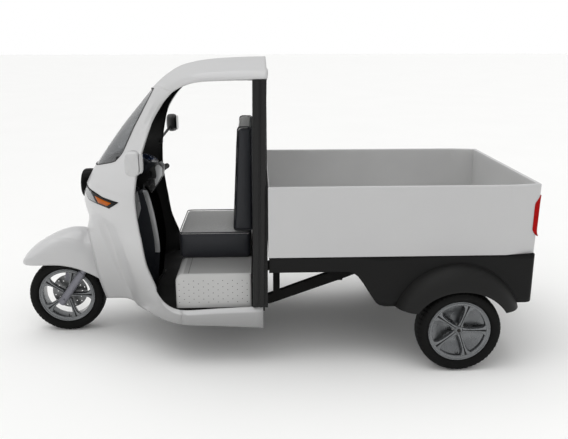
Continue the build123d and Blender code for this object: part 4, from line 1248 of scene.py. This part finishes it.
# seat box: a folded steel box with vent holes
boxLook = {"front": 762, "rear": 1192, "half": 556, "low": 352.5, "top": 556, "frontRadius": 46, "sideRadius": 13,
           "lidFrom": 812, "seam": (836, 544, 556.2), "seamRadius": 0.0011}
ventLook = {"radius": 2.6, "proud": 0.25, "pitch": 55, "rowPitch": 18.5, "rows": 8, "lowZ": 386, "highFrontZ": 505,
            "firstX": 782, "lastX": 1178, "frontCount": 9}


def boxSection(inset):
    front, rear, top = boxLook["front"] + inset, boxLook["rear"] - inset, boxLook["top"] - inset
    r = boxLook["frontRadius"] - inset
    arc = [(front + r - r * math.cos(a), top - r + r * math.sin(a)) for a in degrees(0, 91, 9)]
    return [(front, boxLook["low"]), (front, 430)] + arc + [(1000, top), (rear, top), (rear, boxLook["low"])]


r = boxLook["sideRadius"]
ends = [(boxLook["half"] - r + r * math.sin(a), r * (1 - math.cos(a))) for a in degrees(90, -1, -15)]
boxRun = [(-y, inset) for y, inset in ends] + [(0, 0)] + ends[::-1]
boxRows = [[at(x, y, z) for x, z in boxSection(inset)] for y, inset in boxRun]
seatBox = loft("seat_box_shell", boxRows, seatBoxSteel, 40)
# painted shade: the top faces behind the lid's front edge take the greyer copy
lidStart = at(boxLook["lidFrom"], 0, 500)
secondFinish(seatBox, seatLidPaintedShade, lambda face: face.normal.z > 0.97 and face.center.z > lidStart.z
             and face.center.x > lidStart.x)
settle(seatBox, "seat_box_steel", "seat_box")

vents = []                            # centre of each hole and the way across its face
for row in range(ventLook["rows"]):
    z = ventLook["lowZ"] + row * ventLook["rowPitch"]
    shift = (row % 2) * ventLook["pitch"] / 2
    x = ventLook["firstX"] + shift
    while x < ventLook["lastX"]:
        vents += [(at(x, side * (boxLook["half"] + ventLook["proud"]), z), Vector((1, 0, 0))) for side in (-1, 1)]
        x += ventLook["pitch"]
    far = ventLook["pitch"] * ventLook["frontCount"]
    y = shift - far
    while z < ventLook["highFrontZ"] and y <= far:
        vents.append((at(boxLook["front"] - ventLook["proud"], y, z), Vector((0, 1, 0))))
        y += ventLook["pitch"]
upward = Vector((0, 0, 1))
rimPoints = [centre + (across * math.cos(t) + upward * math.sin(t)) * ventLook["radius"] / 1000
             for centre, across in vents for t in ringTurns(10)]
holes = [tuple(range(start, start + 10)) for start in range(0, len(rimPoints), 10)]
settle(newPiece("seat_box_vents", rimPoints, holes, ventShade), "seat_box_steel")
seamX, seamHalf, seamZ = boxLook["seam"]
seamLine = [at(seamX, y, seamZ) for y in (-seamHalf, seamHalf)]
lidSeam = tubePiece("seat_box_lid_seam", seamLine, boxLook["seamRadius"], ventShade, sides=6)
settle(lidSeam, "seat_box_steel")


# seat: foam under vinyl, blown up by a short cloth run between its seams
seatLook = {
    "cushion": ((756, -280, 556.4), (1192, 280, 722)),      # low and high corner of each pad
    "back": ((1082, -279, 722.4), (1208, 279, 1353)),
    "lean": 33,                                             # how far the top of the back leans rearward
    "board": ((1208.5, -268, 558), (1222, 268, 1344)),
    "shrink": 5, "edgeRadius": 12, "voxel": 9, "seam": 21,  # mm: foam inside the cover, pinned band at the seams
    "heldTo": {"cushion": 572, "back": 736},                # heights up to which a pad can't swell
    "underBack": (1090, 690),                               # nor where the back presses on the cushion
    "piping": 3.4, "pipingIn": 6, "pipingUp": 8, "fill": 0.8,
    "frames": 20, "growth": 8,                              # mm, the most that a pad may swell
    "cloth": {"quality": 5, "mass": 0.4, "tension_stiffness": 12, "compression_stiffness": 12, "shear_stiffness": 6,
              "bending_stiffness": 0.8, "use_pressure": True, "uniform_pressure_force": 4.0},
}


def blowUp(pad, start):               # a short cloth run, then the growth is capped
    cloth = addModifier(pad, "CLOTH")
    for key, value in seatLook["cloth"].items():
        setattr(cloth.settings, key, value)
    cloth.settings.vertex_group_mass = "seams"
    cloth.settings.effector_weights.gravity = 0
    cloth.collision_settings.use_collision = False
    cloth.point_cache.frame_start, cloth.point_cache.frame_end = 1, seatLook["frames"]
    for frameNumber in range(1, seatLook["frames"] + 1):
        bpy.context.scene.frame_set(frameNumber)
    applyModifiers(pad)
    bpy.context.scene.frame_set(1)
    growth = seatLook["growth"] / 1000
    for v, p in zip(pad.data.vertices, start):
        move = v.co - p
        if move.length > growth:
            v.co = p + move.normalized() * growth


def seatPad(name, corners, lean, held):    # lean moves the front of the top rearward; held points stay put
    s = seatLook["shrink"]
    low, high = (Vector(p) for p in corners)
    bm = bmesh.new()
    bmesh.ops.create_cube(bm, size=1)
    for v in bm.verts:
        u, across, up = (c + 0.5 for c in v.co)
        v.co = at(mix(low.x + s + lean * up, high.x - s, u), mix(low.y + s, high.y - s, across),
                  mix(low.z + 1, high.z - s, up))
    bmesh.ops.bevel(bm, geom=bm.edges[:], offset=seatLook["edgeRadius"] / 1000, segments=3, affect="EDGES",
                    clamp_overlap=True)
    pad = pieceOf(bm, name)
    addModifier(pad, "REMESH", mode="VOXEL", voxel_size=seatLook["voxel"] / 1000)
    applyModifiers(pad)
    start = [v.co.copy() for v in pad.data.vertices]

    def limits(p):                    # the box round the pad at that height, in metres
        up = (p.z - low.z / 1000) / ((high.z - low.z) / 1000)
        return at(low.x + lean * up, low.y, low.z), at(*high)
    pins = pad.vertex_groups.new(name="seams")
    for i, p in enumerate(start):
        least, most = limits(p)
        depths = sorted(min(p[k] - least[k], most[k] - p[k]) for k in range(3))
        if depths[1] < seatLook["seam"] / 1000 or held(p):
            pins.add([i], 1.0, "REPLACE")
    blowUp(pad, start)
    for v in pad.data.vertices:       # kept inside the space that the solid holds
        least, most = limits(v.co)
        v.co = [min(max(v.co[k], least[k]), most[k]) for k in range(3)]
    addModifier(pad, "SUBSURF", levels=1, render_levels=1)
    applyModifiers(pad)
    pad.vertex_groups.clear()
    pad.data.materials.clear()
    return pad


def upholster(pad, node, facing, share):    # navy cover with a grey panel on the faces that look one way
    pad.data.materials.append(navyVinyl)
    secondFinish(pad, greyVinyl, lambda face: face.normal.dot(facing) > share)
    pad.data.shade_smooth()
    settle(pad, "seat_vinyl", node)


def pipedLoop(name, corners, radius):        # a bead along a rounded loop of corners
    loop = []
    for i, p in enumerate(corners):
        before, after = corners[i - 1], corners[(i + 1) % len(corners)]
        loop += bend(p + (before - p).normalized() * radius, p, p + (after - p).normalized() * radius, 5)
    return settle(tubePiece(name, loop, seatLook["piping"] / 1000, navyVinyl, sides=8, closed=True), "seat_vinyl")


cushionFoot, backFoot = (seatLook["heldTo"][k] / 1000 for k in ("cushion", "back"))
underBack = at(seatLook["underBack"][0], 0, seatLook["underBack"][1])
cushion = seatPad("seat_cushion_pad", seatLook["cushion"], 0,
                  lambda p: p.z < cushionFoot or (p.x > underBack.x and p.z > underBack.z))
upholster(cushion, "seat_cushion", Vector((0, 0, 1)), 0.62)
backrest = seatPad("seat_backrest_pad", seatLook["back"], seatLook["lean"], lambda p: p.z < backFoot)
upholster(backrest, "seat_backrest", Vector((-0.6, 0, 0.8)), 0.55)
inward = Vector((seatLook["pipingIn"],) * 3)
low, high = (Vector(p) + inward * way for p, way in zip(seatLook["cushion"], (1, -1)))
ring = ((low.x, low.y), (high.x, low.y), (high.x, high.y), (low.x, high.y))
pipedLoop("seat_cushion_piping", [at(x, y, high.z) for x, y in ring], 0.03)
low, high = (Vector(p) + inward * way for p, way in zip(seatLook["back"], (1, -1)))
foot = seatLook["back"][0][2] + seatLook["pipingUp"]
ring = ((low.x, foot), (low.x + seatLook["lean"], high.z), (high.x, high.z), (high.x, foot))
backPiping = pipedLoop("seat_backrest_piping", [at(x, low.y, z) for x, z in ring], 0.02)
settle(copyOf(backPiping, "seat_backrest_piping_right", mirrored), "seat_vinyl")
board = softBox("seat_back_board", *(at(*p) for p in seatLook["board"]), 0.005, shieldAbs)
settle(board, "pillar_plastic")
print("seat made")


# leg shield: navy flanks, silver strip down each rear edge, black face to the driver
# height, rear face, half width, front face
shieldRows = [(352.6, 602, 138, 488), (400, 606, 142, 488), (480, 615, 146, 488), (540, 622, 149, 488),
              (604, 624, 149.5, 488), (660, 620, 149.5, 490), (714, 613, 149, 493), (764, 606, 149, 496),
              (815, 597, 146, 500), (860, 587, 141, 503), (906, 574, 134, 506), (930, 565, 124, 510),
              (946, 553, 108, 520), (949.5, 544, 92, 530)]
shieldLook = {"corner": 7, "strip": 30, "stripFrom": 560, "stripTo": 944, "stripCells": range(4, 8), "steps": 4}


def shieldLoop(z, rear, half, front):    # one half of a level, from the front round to the middle of the rear
    r, strip = shieldLook["corner"], rear - shieldLook["strip"]
    loop = [(front, half * 0.94), (front + 10, half), (mix(front, rear, 0.4), half + 0.3), (strip - 1.5, half),
            (strip, half - 1.4)]
    loop += [(rear - r + r * math.sin(a), half - r + r * math.cos(a)) for a in degrees(0, 91, 30)]
    loop += [(rear - 1.5, half - r - 3), (rear - 1.5, half - r - 12), (rear, half * 0.4), (rear, 0)]
    return [Vector((x, y, z)) for x, y in loop]


shieldLines = alongRows([shieldLoop(*row) for row in shieldRows], shieldLook["steps"])
cells, halves = len(shieldLines[0]) - 1, []
for side in (-1, 1):
    half = gridPiece("half", [[at(p.x, side * p.y, p.z) for p in row] for row in shieldLines], shieldAbs)
    secondFinish(half, trimSilver, lambda face: face.index % cells in shieldLook["stripCells"]
                 and shieldLook["stripFrom"] < face.center.z * 1000 < shieldLook["stripTo"])
    half.data.materials.append(backAbs)
    for face in half.data.polygons:
        if face.index % cells >= shieldLook["stripCells"].stop:
            face.material_index = 2
    if side > 0:
        half.data.flip_normals()
    halves.append(half)
settle(tidyMesh(joined("console_leg_shield", halves), weld=0.0003, angle=34), "console_plastic", "console")


def panelPair(name, outline, middle, rings, place, body="vehicle_body"):    # a pale panel on each flank
    panels = []                       # rings are (out from the middle plane, scale of the outline)
    for side in (-1, 1):
        lines = [[place(mix(middle[0], u, grow), mix(middle[1], v, grow), side * y) for u, v in outline]
                 for y, grow in rings]
        panels.append(loft("panel", lines, trimSilver, 30))
    settle(joined(name, panels), "console_plastic", body=body)


# station, height: the service cover on each flank
flankCover = [(486, 914), (504, 944), (513, 900), (521, 838), (509, 797), (494, 755), (490, 800)]
panelPair("console_flank_covers", flankCover, (503, 848), ((138, 1.0), (150.4, 1.0), (151, 0.96)),
          lambda x, z, y: at(x, y, z))


# steering column cover and instrument pod, set out along the raked steering axis
rake = math.radians(36)


def onAxis(along, rearward, y):       # millimetres up the axis from the front hub, and square to it
    return at(along * math.sin(rake) + rearward * math.cos(rake), y,
              hubHeight + along * math.cos(rake) - rearward * math.sin(rake))


# along, front, rear, half width
columnRows = [(858, -30, 60, 44), (866, -44, 70, 56), (900, -48, 72, 60), (960, -50, 72, 62), (996, -52, 70, 62),
              (1012, -52, 64, 60), (1030, -50, 52, 56), (1038, -44, 40, 50)]
columnLook = {"radius": 16, "turns": (0, 22, 45, 68, 90)}
columnLines = []
for along, front, rear, half in columnRows:
    r, line = columnLook["radius"], []
    for x, y, start in ((rear - r, half - r, 0), (front + r, half - r, 90), (front + r, r - half, 180),
                        (rear - r, r - half, 270)):
        line += [onAxis(along, x + r * math.cos(a), y + r * math.sin(a))
                 for a in (math.radians(start + t) for t in columnLook["turns"])]
    columnLines.append(line)
column = loft("steering_column_cover", columnLines, barSteel, 40)
# along, rearward: the silver cheek on each side of the column
cheek = [(908, 34), (914, 52), (926, 66), (951, 68), (1016, 62), (1048, 40), (1055, 31), (1056, 9), (1046, 2),
         (1033, 0), (1012, 22), (992, 38), (935, 54)]
panelPair("steering_column_cheeks", cheek, (952, 38), ((58, 1.0), (63, 1.0), (65.4, 0.985), (66, 0.955)), onAxis,
          body="steering")
settle(column, "console_plastic", body="steering")

podLook = {"centre": (567, 1119), "tilt": math.radians(24), "long": 56, "wide": 92, "steps": 72,    # centre: (x, z)
           "dial": 2.2, "rim": (3.2, 0.955, 0.0017),        # how far up the dial stands; the rim's rise, scale, radius
           "ticks": 29, "sweep": (-130, 130), "tickRise": 2.6, "tickFrom": 0.86,
           "long tick": (0.72, 0.012), "short tick": (0.79, 0.007),     # inner end, half of the angle
           "digits": ("0", "60"), "digitSize": 0.017, "digitAt": 38, "digitRise": 2.8}
# down from the dial, scale of the oval, shift forward
podRows = [(-1.5, 0.93, 0), (-3.5, 0.965, 0), (-3.0, 0.99, 0), (0, 1.0, 0), (6, 1.0, 0), (9, 0.975, 0), (26, 0.95, 1),
           (52, 0.86, 5), (80, 0.74, 10), (104, 0.62, 16), (118, 0.5, 20)]


def podPoint(turn, down, scale, forward=0):
    tilt, (centreX, centreZ) = podLook["tilt"], podLook["centre"]
    x, y = podLook["long"] * scale * math.cos(turn) - forward, podLook["wide"] * scale * math.sin(turn)
    return at(centreX + x * math.cos(tilt) - down * math.sin(tilt), y,
              centreZ - x * math.sin(tilt) - down * math.cos(tilt))


turns = ringTurns(podLook["steps"])
podLines = [[podPoint(a, *row) for a in turns] for row in podRows]
pod = loft("pod_shell", podLines, shieldAbs, 34)
settle(pod, "console_plastic", "instrument_pod", body="steering")
dialRows = [[podPoint(a, -podLook["dial"], s) for a in turns] for s in (0.93, 0.6, 0.3, 0.02)]
dial = tidyMesh(gridPiece("instrument_dial", dialRows, dialNavy, closedColumns=True), angle=None)
settle(dial, "console_plastic", body="steering")
rise, scale, radius = podLook["rim"]
rimLine = [podPoint(a, -rise, scale) for a in turns]
rim = tubePiece("instrument_dial_rim", rimLine, radius, barSteel, sides=8, closed=True)
settle(rim, "console_plastic", body="steering")
marks = []
for k in range(podLook["ticks"]):
    a = math.radians(mix(*podLook["sweep"], k / (podLook["ticks"] - 1)))
    inner, wide = podLook["short tick" if k % 4 else "long tick"]
    corners = ((a - wide, podLook["tickFrom"]), (a + wide, podLook["tickFrom"]), (a + wide, inner), (a - wide, inner))
    marks += [podPoint(turn, -podLook["tickRise"], scale) for turn, scale in corners]
faces = [tuple(range(start, start + 4)) for start in range(0, len(marks), 4)]
settle(newPiece("instrument_dial_scale", marks, faces, dialMark), "console_plastic", body="steering")
for number, (digit, side) in enumerate(zip(podLook["digits"], (-1, 1))):
    text = bpy.data.curves.new(f"speed_digits_{number}", "FONT")
    text.body = digit
    text.size = podLook["digitSize"]
    text.align_x = text.align_y = "CENTER"
    text.materials.append(dialMark)
    digits = newObject(f"instrument_dial_digits_{number}", text)
    spot = podPoint(math.pi / 2, -podLook["digitRise"], side * podLook["digitAt"] / podLook["wide"])
    digits.matrix_world = (Matrix.Translation(spot) @ Matrix.Rotation(podLook["tilt"], 4, "Y")
                           @ Matrix.Rotation(math.pi / 2, 4, "Z"))
    settle(digits, "console_plastic", body="steering")
print("console and pod made")


# handlebar: ribbed grips, levers and switch blocks on the plain tube
barLook = {"centre": (onAxis(985, 0, 0) - at(0, 0, 0)) * 1000, "rise": -28, "bendY": 120, "back": (10, 48),
           "half": 330, "gripLength": 118, "ribs": 15, "ribRadii": (17.3, 18.0, 17.3, 16.4), "ends": (14.5, 17.5),
           "block": ((-21, -20, -20), (21, 20, 19)), "blockRadius": 0.006, "leverRadii": (0.0052, 0.0040),
           # the lever's run: outward from the grip's inner end, above the bar, behind it
           "lever": [(-8, -4, -30), (24, -8, -46), (68, -12, -50), (110, -14, -44)],
           "perch": ((-12, -12, -38), (12, 6, -10)), "perchRadius": 0.004}


def barSpot(y, above=0.0, behind=0.0):       # along the outer run of the bar
    share = (abs(y) - barLook["bendY"]) / (barLook["half"] - barLook["bendY"])
    c = barLook["centre"]
    return at(c.x + mix(*barLook["back"], share) + behind, y, c.z + barLook["rise"] + above)


half, innerEnd = barLook["half"], barLook["half"] - barLook["gripLength"]
for side, word in handed:
    steps = barLook["ribs"] * 4
    line = [barSpot(side * mix(half, innerEnd, k / steps)) for k in range(steps + 1)]
    radii = [(barLook["ribRadii"][k % 4] if 2 < k < steps - 2 else barLook["ends"][1]) / 1000 for k in range(steps + 1)]
    radii[0] = barLook["ends"][0] / 1000
    inboard = innerEnd - 2
    grip = tubePiece("handlebar_grip_" + word, line, radii, gripRubber, sides=20)
    block = softBox("handlebar_switch_block_" + word, *(at(*p) for p in barLook["block"]), barLook["blockRadius"],
                    barSteel)
    block.matrix_world = Matrix.Translation(barSpot(side * (inboard - 21)) - at(0, 0, 0))
    run = [barSpot(side * (innerEnd + out), above, behind) for out, above, behind in barLook["lever"]]
    run = smoothLine(run, 5)
    slim = [mix(*barLook["leverRadii"], k / (len(run) - 1)) for k in range(len(run))]
    lever = tubePiece("handlebar_lever_" + word, run, slim, barSteel, sides=10)
    perchEnds = (barSpot(side * inboard + out, above, behind) for out, above, behind in barLook["perch"])
    perch = softBox("handlebar_lever_perch_" + word, *perchEnds, barLook["perchRadius"], barSteel)
    for piece in (grip, block, lever, perch):
        settle(piece, "bar_black", body="steering")


# mirrors: pale housing outboard and in front, black shoulder and stalk inboard, glass to the rear
mirrorLook = {
    "centre": (612, 802, 1239), "deep": 38.5, "wide": 58.5, "high": 61.5,
    "steps": 15, "ringSteps": 40,
    "outer": (5.0, 3.6), "inner": (2.5, 2.6),   # how square each end is: lengthwise, and round its section
    "taper": 0.22, "shoulder": 8, "seam": 9, "seamRadius": 0.0012,
    "pane": (47, 49), "paneX": (39.2, 40.0), "paneSquare": 4, "frameRadius": 0.0016,
    "stalk": [(600, 752, 1210), (592, 700, 1199), (578, 600, 1180), (562, 508, 1161), (559, 480, 1156)],
    "stalkRadii": (0.0105, 0.007875, 0.009),    # at the mirror, thinning inwards, then at the foot
    "foot": (562, 497, 1156), "footHalf": (22, 16, 20), "footRadius": 0.009,
}


def squareRing(power):                # a ring between an oval and a square, as (across, up) shares
    ring = []
    for a in ringTurns(mirrorLook["ringSteps"]):
        reach = (abs(math.cos(a)) ** power + abs(math.sin(a)) ** power) ** (-1 / power)
        ring.append((reach * math.cos(a), reach * math.sin(a)))
    return ring


def mirrorPieces(word, side):
    x, y, z = mirrorLook["centre"]
    deep, wide, high = (mirrorLook[k] for k in ("deep", "wide", "high"))
    rows = []
    for k in range(mirrorLook["steps"] + 1):        # from the outboard end to the inboard one
        t = -1 + 2 * k / mirrorLook["steps"]
        lengthwise, section = mirrorLook["outer" if t < 0 else "inner"]
        scale = max(max(0.0, 1 - abs(t) ** lengthwise) ** (1 / lengthwise), 0.05)
        depth = deep * (1 - mirrorLook["taper"] * max(t, 0))
        rows.append([at(x + depth * scale * ca, side * (y - wide * t), z + high * scale * sa)
                     for ca, sa in squareRing(section)])
    shell = closeEnds(gridPiece("shell", rows, bodyEnamel, closedColumns=True))
    secondFinish(shell, barSteel, lambda face: side * face.center.y * 1000 - y < mirrorLook["shoulder"])
    tidyMesh(shell, angle=50)
    seamLine = [at(x + deep * ca, side * (y + mirrorLook["seam"]), z + high * sa)
                for ca, sa in squareRing(mirrorLook["outer"][1])]
    seam = tubePiece("seam", seamLine, mirrorLook["seamRadius"], bodyEnamel, sides=6, closed=True)
    line = smoothLine([at(sx, side * sy, sz) for sx, sy, sz in mirrorLook["stalk"]], 4)
    thick, thin, end = mirrorLook["stalkRadii"]
    radii = [mix(thick, thin, k / 12) if k < 12 else end for k in range(len(line))]
    stalk = tubePiece("stalk", line, radii, barSteel, sides=14)
    (fx, fy, fz), (hx, hy, hz) = mirrorLook["foot"], mirrorLook["footHalf"]
    foot = softBox("foot", at(fx - hx, side * fy - hy, fz - hz), at(fx + hx, side * fy + hy, fz + hz),
                   mirrorLook["footRadius"], barSteel)
    paneWide, paneHigh = mirrorLook["pane"]
    pane = [[at(x + out, side * (y + 1 + paneWide * ca), z + paneHigh * sa)
             for ca, sa in squareRing(mirrorLook["paneSquare"])] for out in mirrorLook["paneX"]]
    glassPane = loft("mirror_glass_" + word, pane, mirrorGlass, 30)
    surround = tubePiece("surround", [p + Vector((0.0002, 0, 0)) for p in pane[1]], mirrorLook["frameRadius"],
                         bodyEnamel, sides=6, closed=True)
    whole = joined("mirror_housing_" + word, [shell, seam, stalk, foot, surround])
    settle(whole, "painted_body", "mirror_" + word)
    settle(glassPane, "painted_body")


for side, word in handed:
    mirrorPieces(word, side)
print("mirrors and bar made")
